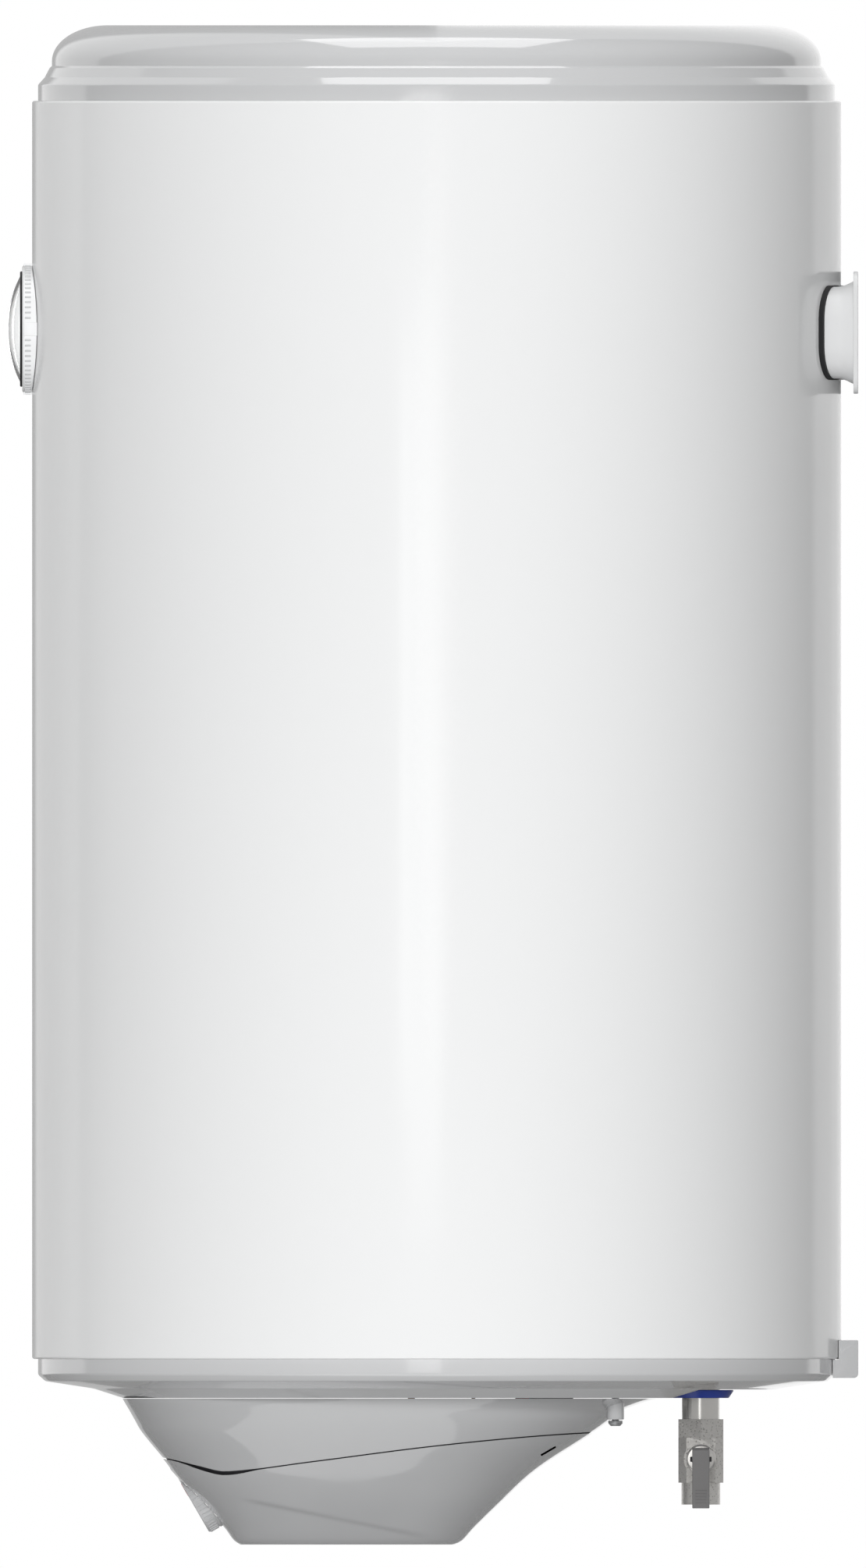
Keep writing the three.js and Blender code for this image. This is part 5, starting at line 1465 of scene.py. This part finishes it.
class HEATER_OT_gauge(bpy.types.Operator):
    """Thermometer with its ribbed bezel, seal, dial, scale, pointer and domed lens"""

    bl_idname = "heater.gauge"
    bl_label = "Thermometer"

    def execute(self, context):
        sizes = context.scene.heater_controls
        self.bezel(sizes)
        self.dial(sizes)
        self.pointer()
        self.lens()
        return {"FINISHED"}

    def bezel(self, sizes):
        seat, barrel = LENS_RADIUS + 0.3 * MM, 29 * MM
        back, floor = JACKET_RADIUS - 8 * MM, LENS_SEAT - 0.3 * MM
        ring = rounded(
            [
                (barrel - 1 * MM, back, 0),
                (GAUGE_RADIUS - 0.5 * MM, back, 0),
                (GAUGE_RADIUS - 0.5 * MM, GAUGE_FACE, 1.3 * MM),
                (seat, GAUGE_FACE, 0.6 * MM),
                (seat, floor, 0),
                (barrel - 1 * MM, floor, 0),
            ]
        )
        jacket = plug(JACKET_RADIUS + 0.3 * MM, -0.06, 0.06, 288)
        bezel = solid("bezel", "cut", moved(turned(ring, 160, "bezel"), FRONT), jacket)
        can = [(0, GAUGE_BACK), (barrel, GAUGE_BACK), (barrel, floor), (barrel - 2 * MM, floor)]
        can += [(barrel - 2 * MM, GAUGE_BACK + 2 * MM), (0, GAUGE_BACK + 2 * MM)]
        length_of = GAUGE_FACE - JACKET_RADIUS - 2.2 * MM
        ribs = grown(
            "ribs",
            ring_tree,
            "bezel_plastic",
            Count=sizes.gauge_ribs,
            Radius=GAUGE_RADIUS - 0.5 * MM,
            Size=(1 * MM, 1.1 * MM, length_of),
            Height=JACKET_RADIUS + length_of / 2 + 0.7 * MM,
        )
        tabs = grown(
            "tabs",
            ring_tree,
            "bezel_plastic",
            Count=4,
            Radius=GAUGE_RADIUS - 0.4 * MM,
            Size=(1.6 * MM, 7.6 * MM, 7.6 * MM),
            Height=GAUGE_FACE - 4.5 * MM,
        )
        piece(moved(soften(ribs, 0.25 * MM), GAUGE), "gauge_ribs", "heater", "grey_plastic", "grey_plastic")
        tabs = moved(soften(tabs, 0.4 * MM), FRONT)
        made = merged("bezel", bezel, moved(turned(can, 96, "can"), FRONT), tabs)
        moved(made, shift(0, 0, GAUGE_Z))
        piece(made, "gauge_bezel", "heater", "bezel_plastic", "white_plastic", "gauge_housing")
        across, up = LENS_RADIUS - 0.1 * MM, GAUGE_FACE + 0.5 * MM
        angles = [i * TAU / 16 for i in range(16)]
        tube = [(across + SEAL_WIRE * math.cos(a), up + SEAL_WIRE * math.sin(a)) for a in angles]
        piece(moved(turned(tube, 128, "seal"), GAUGE), "gauge_seal", "heater", "rubber", "rubber")

    def dial(self, sizes):
        back, hole, lip = DIAL_FACE - 1 * MM, 1.4 * MM, 0.2 * MM
        plate = [(hole, back), (DIAL_RADIUS, back), (DIAL_RADIUS, DIAL_FACE - lip)]
        plate += [(DIAL_RADIUS - lip, DIAL_FACE), (hole, DIAL_FACE)]
        made = moved(turned(plate, 128, "dial"), GAUGE)
        piece(made, "dial_plate", "heater", "dial_white", "white_plastic", "gauge_dial")
        low, high = DIAL_FACE - 0.05 * MM, DIAL_FACE + 0.08 * MM
        for name, coat, slot, first, last in (
            ("dial_cold_band", "dial_blue", "blue_plastic", 0, 0.45),
            ("dial_hot_band", "dial_red", "red_plastic", 0.72, 1),
        ):
            arcs = []
            for radius in BAND_RADII:
                angles = [DIAL_START + DIAL_SWEEP * (first + (last - first) * i / 40) for i in range(41)]
                arcs.append([(radius * math.cos(a), radius * math.sin(a)) for a in angles])
            band = cut_sheet([arcs[0] + arcs[1][::-1]], low, high, 0, "band")
            piece(moved(band, GAUGE), name, "heater", coat, slot)
        ticks = grown(
            "ticks",
            ring_tree,
            "dial_black",
            Count=sizes.dial_ticks,
            Radius=TICK_RADIUS,
            Start_Angle=DIAL_START,
            Sweep=DIAL_SWEEP * sizes.dial_ticks / (sizes.dial_ticks - 1),
            Size=(1.6 * MM, 0.28 * MM, 0.14 * MM),
            Height=DIAL_FACE + 0.05 * MM,
            Long_Every=5,
            Long_Share=1.9,
        )
        numbers = []
        for i, text in enumerate(("0", "20", "40", "60", "80")):
            angle = DIAL_START + DIAL_SWEEP * i / 4
            label = bpy.data.curves.new("number", "FONT")
            label.body = text
            label.size = 4.4 * MM
            label.extrude = 0.06 * MM
            label.align_x = "CENTER"
            label.align_y = "CENTER"
            figure = from_evaluated(placed("number", label), "number")
            place = shift(NUMBER_RADIUS * math.cos(angle), NUMBER_RADIUS * math.sin(angle), high)
            numbers.append(moved(figure, place))
        made = merged("scale", ticks, *numbers)
        piece(moved(made, GAUGE), "dial_scale", "heater", "dial_black", "black_plastic")

    def pointer(self):
        low = DIAL_FACE + 0.6 * MM
        half = [(1.5 * MM, -6.6 * MM), (1 * MM, 3 * MM), (0.3 * MM, 21 * MM)]
        blade = [(-x, y) for x, y in half[:1]] + half + [(-x, y) for x, y in half[:0:-1]]
        needle = cut_sheet([blade], low, low + 0.7 * MM, 0.12 * MM, "needle")
        cap = low + 1.6 * MM
        hub = rounded(
            [(0, cap, 0), (3 * MM, cap, 0.8 * MM), (3 * MM, low, 0.1 * MM), (0, low, 0)], closed=False
        )
        spindle = plug(1 * MM, GAUGE_BACK + 5 * MM, low + 0.2 * MM, 24, "spindle")
        made = merged("needle", needle, turned(hub, 48, "hub"), spindle)
        moved(made, Matrix.Rotation(NEEDLE_REST, 4, "Z"))
        piece(moved(made, GAUGE), "needle_blade", "needle", "dial_black", "black_plastic", "gauge_pointer")

    def lens(self):
        def bulge(radius, top):
            rise = top - GAUGE_FACE
            ball = (radius**2 + rise**2) / (2 * rise)
            across = [radius * i / 28 for i in range(29)]
            return [(r, top - ball + math.sqrt(ball**2 - r**2)) for r in across]

        wall = 1.8 * MM
        outside = bulge(LENS_RADIUS, LENS_TOP)
        inside = bulge(LENS_RADIUS - wall, LENS_TOP - wall)
        rim = [(LENS_RADIUS, LENS_SEAT), (LENS_RADIUS - wall, LENS_SEAT)]
        made = turned([*outside, *rim, *inside[::-1]], 128, "lens")
        piece(moved(made, GAUGE), "lens_dome", "heater", "lens", "lens", "gauge_lens", angle=50)


# ---- Pipes and safety valve ----


def thread(name, radius, low, high, sizes, inward=False):
    """The ridge of a pipe thread on a round surface between two heights."""
    rise = high - low
    made = grown(
        name,
        coil_tree,
        "nickel_turned",
        Turns=rise / sizes.thread_pitch,
        Radius=radius + (0.12 * MM if inward else -0.12 * MM),
        Rise=rise,
        Wire=sizes.thread_depth,
        Wire_Sides=6,
        Steps=48,
    )
    return moved(made, shift(0, 0, low))


class HEATER_OT_pipes(bpy.types.Operator):
    """Cold and hot pipe nipples, the thread on the hot one, and their coloured rings"""

    bl_idname = "heater.pipes"
    bl_label = "Pipes and rings"

    def execute(self, context):
        sizes = context.scene.heater_plumbing
        bore = sizes.pipe_bore
        for name, x, coat in (("cold", PIPE.x, "blue_plastic"), ("hot", -PIPE.x, "red_plastic")):
            threaded = name == "hot"
            radius = PIPE_RADIUS - (0.6 * MM if threaded else 0)
            thread_top = PIPE_END + 15 * MM
            outline = rounded(
                [
                    (bore, PIPE_END, 0.4 * MM),
                    (radius, PIPE_END, 0.9 * MM),
                    (radius, thread_top, 0.2 * MM),
                    (PIPE_RADIUS, thread_top + 1 * MM, 0.2 * MM),
                    (PIPE_RADIUS, PIPE_TOP, 0.5 * MM),
                    (bore, PIPE_TOP, 0.4 * MM),
                ]
            )
            shells = [turned(outline, 96, "pipe")]
            if threaded:
                shells.append(thread("ridge", radius, PIPE_END + 1.2 * MM, thread_top - 0.4 * MM, sizes))
            made = moved(merged("pipe", *shells), shift(x, PIPE.y, 0))
            piece(made, f"{name}_pipe", "heater", "nickel_turned", "nickel_brass", f"{name}_nipple")
            inner = PIPE_RADIUS + 0.3 * MM
            ring = rounded(
                [
                    (inner, RING_LOW.z, 0.3 * MM),
                    (15.5 * MM, RING_LOW.z, 0.6 * MM),
                    ((RING_HIGH.x - RING_LOW.x) / 2, RING_HIGH.z, 0.5 * MM),
                    (inner, RING_HIGH.z, 0.2 * MM),
                ]
            )
            made = moved(turned(ring, 80, "ring"), shift(x, PIPE.y, 0))
            piece(made, f"{name}_collar", "heater", coat, coat, f"{name}_ring")
        return {"FINISHED"}


def prism(outline, low, high, name):
    return lofted([[Vector((x, y, z)) for x, y in outline] for z in (low, high)], name)


class HEATER_OT_valve(bpy.types.Operator):
    """Forged body of the safety valve with its hexagon, block, branch, spout and bonnet"""

    bl_idname = "heater.valve"
    bl_label = "Safety valve body"

    def execute(self, context):
        sizes = context.scene.heater_plumbing
        half = PIPE_RADIUS + 2.02 * MM
        hex_end, block_end = -43.8 * MM, -68.8 * MM
        corner = half / math.cos(math.pi / 6)
        hexagon = [(corner * math.cos(i * TAU / 6), corner * math.sin(i * TAU / 6)) for i in range(6)]
        flat = half - sizes.valve_chamfer
        block = [(half, -flat), (half, flat), (flat, half), (-flat, half)]
        block += [(-x, -y) for x, y in block]
        branch = -PIPE.x + BONNET_LOW.x - 0.3 * MM
        spout_x, spout_end, spout = 19 * MM, -78 * MM, 4.5 * MM
        shape = solid(
            "valve",
            "join",
            prism(hexagon, hex_end - 0.5 * MM, VALVE_HIGH.z, "hexagon"),
            prism(block, block_end, hex_end, "block"),
            plug(10.8 * MM, VALVE_LOW.z, block_end + 1 * MM, 72),
            moved(plug(9.5 * MM, 8 * MM, branch, 72), shift(0, 0, BRANCH_Z) @ RIGHT),
            moved(plug(spout, spout_end, BRANCH_Z, 40), shift(spout_x, 0, 0)),
        )
        bore = sizes.pipe_bore
        hollows = [
            (PIPE_RADIUS + 0.3 * MM, PIPE_END - 0.5 * MM, 0),
            (4.6 * MM, -48 * MM, PIPE_END + 1 * MM),
            (bore, -66 * MM, -47 * MM),
            (5.5 * MM, block_end - 1 * MM, -65 * MM),
            (bore, VALVE_LOW.z - 1 * MM, block_end),
        ]
        tools = [plug(radius, low, high) for radius, low, high in hollows]
        for radius, low, high in ((4 * MM, 0, 17 * MM), (6.8 * MM, 16 * MM, branch + 1 * MM)):
            tools.append(moved(plug(radius, low, high), shift(0, 0, BRANCH_Z) @ RIGHT))
        drain = plug(3 * MM, spout_end - 1 * MM, BRANCH_Z, 32)
        tools.append(moved(drain, shift(spout_x, 0, 0)))
        shape = solid("valve", "cut", shape, *tools)
        shape = soften(shape, 0.45 * MM, 3, 40)
        inner = thread("ridge", bore, VALVE_LOW.z + 1 * MM, block_end - 1.4 * MM, sizes, True)
        made = moved(merged("valve", shape, inner), COLD)
        piece(made, "valve_block", "heater", "nickel_cast", "nickel_brass", "valve_body")

        low, high = BONNET_LOW.x - PIPE.x, BONNET_HIGH.x - PIPE.x
        radius = (BONNET_HIGH.z - BONNET_LOW.z) / 2
        outline = rounded(
            [
                (6.8 * MM, low, 0.2 * MM),
                (radius, low, 0.2 * MM),
                (radius, low + 3.4 * MM, 0.3 * MM),
                (radius - 0.7 * MM, low + 4 * MM, 0.3 * MM),
                (radius - 0.7 * MM, low + 5 * MM, 0.3 * MM),
                (radius, low + 5.6 * MM, 0.3 * MM),
                (radius, high, 1.2 * MM),
                (2.4 * MM, high, 0.3 * MM),
                (2.4 * MM, high - 2.5 * MM, 0.2 * MM),
                (6.8 * MM, high - 2.5 * MM, 0.4 * MM),
            ]
        )
        made = moved(turned(outline, 80, "bonnet"), BRANCH)
        piece(made, "valve_cap", "heater", "nickel_turned", "nickel_brass", "valve_bonnet")
        return {"FINISHED"}


class HEATER_OT_relief(bpy.types.Operator):
    """Relief stem, its pin and lever, and the two springs in the valve"""

    bl_idname = "heater.relief"
    bl_label = "Relief lever and springs"

    def execute(self, context):
        sizes = context.scene.heater_plumbing
        pin = LEVER_PIN.x - PIPE.x
        stem = rounded(
            [
                (0, 16.3 * MM, 0),
                (6 * MM, 16.3 * MM, 0.4 * MM),
                (6 * MM, 18.6 * MM, 0.4 * MM),
                (2 * MM, 18.6 * MM, 0.4 * MM),
                (2 * MM, pin - 2 * MM, 0.3 * MM),
                (0, pin - 2 * MM, 0),
            ],
            closed=False,
        )
        inner, outer, half = 1.7 * MM, 3 * MM, 2 * MM
        eye = [(inner, -half, 0.2 * MM), (outer, -half, 0.5 * MM)]
        eye += [(outer, half, 0.5 * MM), (inner, half, 0.2 * MM)]
        eye = moved(turned(rounded(eye), 40, "eye"), shift(0, 0, pin) @ FRONT)
        made = moved(merged("stem", turned(stem, 48, "stem"), eye), BRANCH)
        piece(made, "valve_stem", "stem", "nickel_turned", "nickel_brass", "relief_stem")
        low, high = corners("lever_pin")
        radius, half = (high.z - low.z) / 2, (high.y - low.y) / 2
        outline = rounded(
            [(0, -half, 0), (radius, -half, 0.4 * MM), (radius, half, 0.4 * MM), (0, half, 0)],
            closed=False,
        )
        made = moved(turned(outline, 32, "pin"), BRANCH @ shift(0, 0, pin) @ FRONT)
        piece(made, "pivot_pin", "stem", "black_plastic", "zinc_steel", "lever_pin")
        self.lever()
        for name, node, slide, coil, wire, first, last, place in (
            ("relief_coil", "relief_spring", "stem_lift", 4.6, 0.7, 18.9 * MM, 35.2 * MM, BRANCH),
            ("check_coil", "check_spring", "poppet_lift", 5.2, 0.5, -63.2 * MM, -47.3 * MM, COLD),
        ):
            made = grown(
                name,
                coil_tree,
                "zinc_steel",
                Turns=float(sizes.coil_turns),
                Radius=coil * MM,
                Rise=last - first - 2 * wire * MM,
                Wire=wire * MM,
                Wire_Sides=12,
                Steps=40,
            )
            moved(made, shift(0, 0, first + wire * MM))
            made = piece(moved(made, place), name, "heater", "zinc_steel", "zinc_steel", node)
            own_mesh(made)
        return {"FINISHED"}

    def lever(self):
        """Drawn in X and Z round its pin, then given its fork and its ribs."""
        top, width = LEVER_HIGH.z - BRANCH_Z, LEVER_HIGH.y - LEVER_LOW.y
        tip = LEVER_LOW.z - BRANCH_Z
        outline = rounded(
            [
                (-3.5 * MM, 0, 3 * MM),
                (-3.2 * MM, top - 2 * MM, 2.5 * MM),
                (0, top, 2 * MM),
                (3.6 * MM, top, 1.2 * MM),
                (5 * MM, 5 * MM, 0.6 * MM),
                (4.6 * MM, -1 * MM, 1 * MM),
                (5 * MM, -5 * MM, 4 * MM),
                (5.6 * MM, tip, 0.8 * MM),
                (2.8 * MM, tip, 0.8 * MM),
                (1.6 * MM, -9 * MM, 3 * MM),
                (-3.2 * MM, -2.5 * MM, 1.2 * MM),
            ]
        )
        blank = cut_sheet([outline], -width / 2, width / 2, 0.5 * MM, "lever")
        slot = cut_sheet([rectangle(13.4 * MM, 13.4 * MM, 0.3 * MM, (-3.3 * MM, 3.3 * MM))], -2.4 * MM, 2.4 * MM)
        hole = plug(1.7 * MM, -10 * MM, 10 * MM, 32)
        lever = solid("lever", "cut", blank, slot, hole)
        grips = [
            cut_sheet([rectangle(0.8 * MM, 0.7 * MM, 0.3 * MM, (5.3 * MM, up))], -3.2 * MM, 3.2 * MM)
            for up in (tip + (3 + 1.7 * i) * MM for i in range(5))
        ]
        made = merged("lever", lever, *grips)
        upright = Matrix(((1, 0, 0, 0), (0, 0, -1, 0), (0, 1, 0, 0), (0, 0, 0, 1)))
        place = Matrix.Translation(LEVER_PIN)
        piece(moved(made, place @ upright), "relief_handle", "lever", "dark_plastic", "dark_plastic", "valve_lever")


# ---- Inner pieces, which keep their shape and take their finish here ----

INNER = {
    "insulation_foam": "foam",
    "tank_shell": "tank_enamel",
    "tank_top_dome": "tank_enamel",
    "tank_bottom_dome": "tank_enamel",
    "flange_gasket": "rubber",
    "heating_element": "copper",
    "sensor_pocket": "copper",
    "sensor_capillary": "copper",
    "gauge_probe": "copper",
    "anode_rod": "magnesium",
    "terminal_block": "white_plastic",
    "inlet_diffuser": "white_plastic",
    "outlet_standpipe": "white_plastic",
    "check_poppet": "white_plastic",
    "safety_cutout": "black_plastic",
    "thermostat_body": "black_plastic",
    "reset_button": "red_plastic",
    "live_lead": "red_plastic",
    "bridge_lead": "red_plastic",
    "neutral_lead": "blue_plastic",
}


class HEATER_OT_inner_pieces(bpy.types.Operator):
    """Finishes of the tank, the flange, the electrics and everything else behind the covers"""

    bl_idname = "heater.inner_pieces"
    bl_label = "Inner pieces"

    def execute(self, context):
        for name, node in frame["nodes"].items():
            if node.hide_render:
                continue
            node.data.materials.clear()
            node.data.materials.append(finish(INNER.get(name, "zinc_steel")))
        return {"FINISHED"}


# ---- Stage ----

# Edges of the white walls, as the cosine from the right side, towards the front and towards the rear.
WALL_EDGES = (-0.56, -0.74)
WALL_LEAN = 0.3
DOOR_EDGE = -0.962
WALL_LIGHT = 1.0
ROOM_LIGHT = 0.5
AMBIENT = 0.02
FLOOR_GLOW = 0.74


def studio_world():
    """White walls behind the heater and darker ones in front, which only its gloss sees, and a weak fill."""
    world = bpy.data.worlds.new("studio")
    bpy.context.scene.world = world
    world.use_nodes = True
    tree = world.node_tree
    tree.nodes.clear()
    direction = add(tree, "ShaderNodeTexCoord").outputs["Generated"]
    axes = add(tree, "ShaderNodeSeparateXYZ", {0: direction}).outputs
    flat = maths(tree, "SQRT", maths(tree, "SUBTRACT", 1.0, maths(tree, "MULTIPLY", axes["Z"], axes["Z"])))
    facing = maths(tree, "DIVIDE", axes["X"], maths(tree, "MAXIMUM", flat, 0.01))
    to_rear = maths(tree, "GREATER_THAN", axes["Y"], 0.0)
    edge = maths(tree, "MULTIPLY_ADD", to_rear, WALL_EDGES[1] - WALL_EDGES[0], WALL_EDGES[0])
    lean = maths(tree, "MULTIPLY", maths(tree, "SUBTRACT", 1.0, to_rear), WALL_LEAN)
    limit = maths(tree, "MULTIPLY_ADD", maths(tree, "MAXIMUM", axes["Z"], 0.0), lean, edge)
    white = soft_step(tree, maths(tree, "SUBTRACT", limit, facing), 0.02)
    dark = soft_step(tree, maths(tree, "SUBTRACT", DOOR_EDGE, facing), 0.01)
    door = maths(tree, "MULTIPLY", dark, maths(tree, "LESS_THAN", axes["Y"], 0.0))
    wall = maths(tree, "MULTIPLY", white, maths(tree, "SUBTRACT", 1.0, door))
    mirror = maths(tree, "MULTIPLY_ADD", wall, WALL_LIGHT - ROOM_LIGHT, ROOM_LIGHT)
    path = add(tree, "ShaderNodeLightPath").outputs
    above = maths(tree, "SUBTRACT", mirror, AMBIENT)
    glossy = maths(tree, "MULTIPLY_ADD", path["Is Glossy Ray"], above, AMBIENT)
    seen = maths(tree, "MAXIMUM", path["Is Camera Ray"], path["Is Transmission Ray"])
    strength = maths(tree, "MULTIPLY_ADD", seen, maths(tree, "SUBTRACT", 1.0, glossy), glossy)
    light = add(tree, "ShaderNodeBackground", {"Color": (1, 1, 1, 1), "Strength": strength})
    end = tree.nodes.new("ShaderNodeOutputWorld")
    tree.links.new(light.outputs[0], end.inputs["Surface"])


def soft_step(tree, value, softness):
    """Zero below zero and one above, with a soft edge."""
    return add(
        tree, "ShaderNodeMapRange", {"Value": value, "From Min": -softness, "From Max": softness}
    ).outputs[0]


def light(name, kind, place, towards, power):
    """A light at a place that shines along a direction."""
    data = bpy.data.lights.new(name, kind)
    data.energy = power
    made = placed(name, data)
    made.location = place
    made.rotation_mode = "QUATERNION"
    made.rotation_quaternion = Vector(towards).to_track_quat("-Z", "Y")
    return made


def sunlight(name, towards, strength, spread):
    """Even light along a direction, which leaves no highlight of its own."""
    made = light(name, "SUN", (0, 0, 0), towards, strength)
    made.data.angle = math.radians(spread)
    made.visible_glossy = False


def softbox(name, place, target, size, power):
    """A panel of light that shows in glossy surfaces."""
    made = light(name, "AREA", place, Vector(target) - Vector(place), power)
    made.data.shape = "RECTANGLE"
    made.data.size, made.data.size_y = size
    made.visible_camera = False


VIEW_MARGIN = 1.0321
CAMERA_AWAY = 3
CAMERA_FORWARD = 2 * MM
CAMERA_RISE = 0.5 * MM
FLOOR_DROP = 1.0
FLOOR_RADIUS = 8


class HEATER_OT_stage(bpy.types.Operator):
    """Pale floor, soft studio light and a level camera on the heater's right side"""

    bl_idname = "heater.stage"
    bl_label = "Stage"

    def execute(self, context):
        scene = context.scene
        scene.view_settings.view_transform = "Standard"
        studio_world()
        low, high = CAD_BOX
        centre = (low + high) / 2
        floor_z = low.z - FLOOR_DROP
        floor = plug(FLOOR_RADIUS, floor_z, floor_z - 0.02, 96, "floor")
        moved(floor, shift(0, centre.y, 0))
        made, tree, shader = empty_material("pale_floor")
        tone = use_group(
            tree,
            group("surface tone", tone_group),
            {"Color": (0.5, 0.5, 0.5, 1), "Shade": 0.01, "Roughness": 0.75, "Spread": 0.03, "Scale": 1.5},
        )
        tree.links.new(tone.outputs["Color"], shader.inputs["Base Color"])
        tree.links.new(tone.outputs["Roughness"], shader.inputs["Roughness"])
        seen = add(tree, "ShaderNodeLightPath").outputs["Is Camera Ray"]
        tree.links.new(maths(tree, "MULTIPLY", seen, FLOOR_GLOW), shader.inputs["Emission Color"])
        shader.inputs["Emission Strength"].default_value = 1
        floor.data.materials.append(made)

        sunlight("key", (-1, 0, -0.03), 3.15, 12)
        sunlight("front_fill", (0.5, 0.866, -0.05), 1.05, 40)
        sunlight("rear_fill", (1, -0.35, -0.05), 2.4, 40)
        sunlight("overhead", (0, 0, -1), 0.9, 10)
        softbox("strip", (3.2, centre.y - 0.5, centre.z + 0.05), centre, (0.1, 0.9), 0.8)
        softbox("broad_strip", (3.4, centre.y - 0.2, centre.z), centre, (0.55, 1.1), 2.4)
        under = (0.75, centre.y - 0.3, low.z - 0.9)
        softbox("low_panel", under, (0.75, centre.y - 0.3, 0), (1.2, 1.2), 3)
        softbox("top_panel", (0.3, centre.y, centre.z + 2.6), centre, (1.6, 1.6), 20)

        camera = bpy.data.cameras.new("camera")
        camera.type = "ORTHO"
        camera.ortho_scale = (high.z - low.z) * VIEW_MARGIN
        camera.clip_end = 20
        view = placed("camera", camera)
        view.location = (CAMERA_AWAY, TANK.y - CAMERA_FORWARD, centre.z + CAMERA_RISE)
        view.rotation_euler = (math.pi / 2, 0, math.pi / 2)
        scene.camera = view
        return {"FINISHED"}


OPERATORS = (
    HEATER_OT_stage,
    HEATER_OT_jacket,
    HEATER_OT_top_cap,
    HEATER_OT_bottom_cap,
    HEATER_OT_bracket,
    HEATER_OT_spacer,
    HEATER_OT_cover_skirt,
    HEATER_OT_cover_bowl,
    HEATER_OT_cover_fittings,
    HEATER_OT_knob,
    HEATER_OT_gauge,
    HEATER_OT_pipes,
    HEATER_OT_valve,
    HEATER_OT_relief,
    HEATER_OT_inner_pieces,
)


class HEATER_PT_panel(bpy.types.Panel):
    """Lists the heater's sizes, colours and pieces"""

    bl_idname = "HEATER_PT_panel"
    bl_label = "Water heater"
    bl_space_type = "VIEW_3D"
    bl_region_type = "UI"
    bl_category = "Heater"

    def draw(self, context):
        for name, group_of in GROUPS.items():
            box = self.layout.box()
            box.label(text=group_of.__doc__)
            for label in group_of.__annotations__:
                box.prop(getattr(context.scene, name), label)
        for operator in OPERATORS:
            self.layout.operator(operator.bl_idname)


def register():
    for group_of in (*GROUPS.values(), *OPERATORS, HEATER_PT_panel):
        bpy.utils.register_class(group_of)
    for name, group_of in GROUPS.items():
        setattr(bpy.types.Scene, name, PointerProperty(type=group_of))


def unregister():
    for name in GROUPS:
        delattr(bpy.types.Scene, name)
    for group_of in (HEATER_PT_panel, *reversed(OPERATORS), *reversed(GROUPS.values())):
        bpy.utils.unregister_class(group_of)


def main():
    register()
    for operator in OPERATORS:
        family, name = operator.bl_idname.split(".")
        getattr(getattr(bpy.ops, family), name)()


if __name__ == "__main__":
    main()
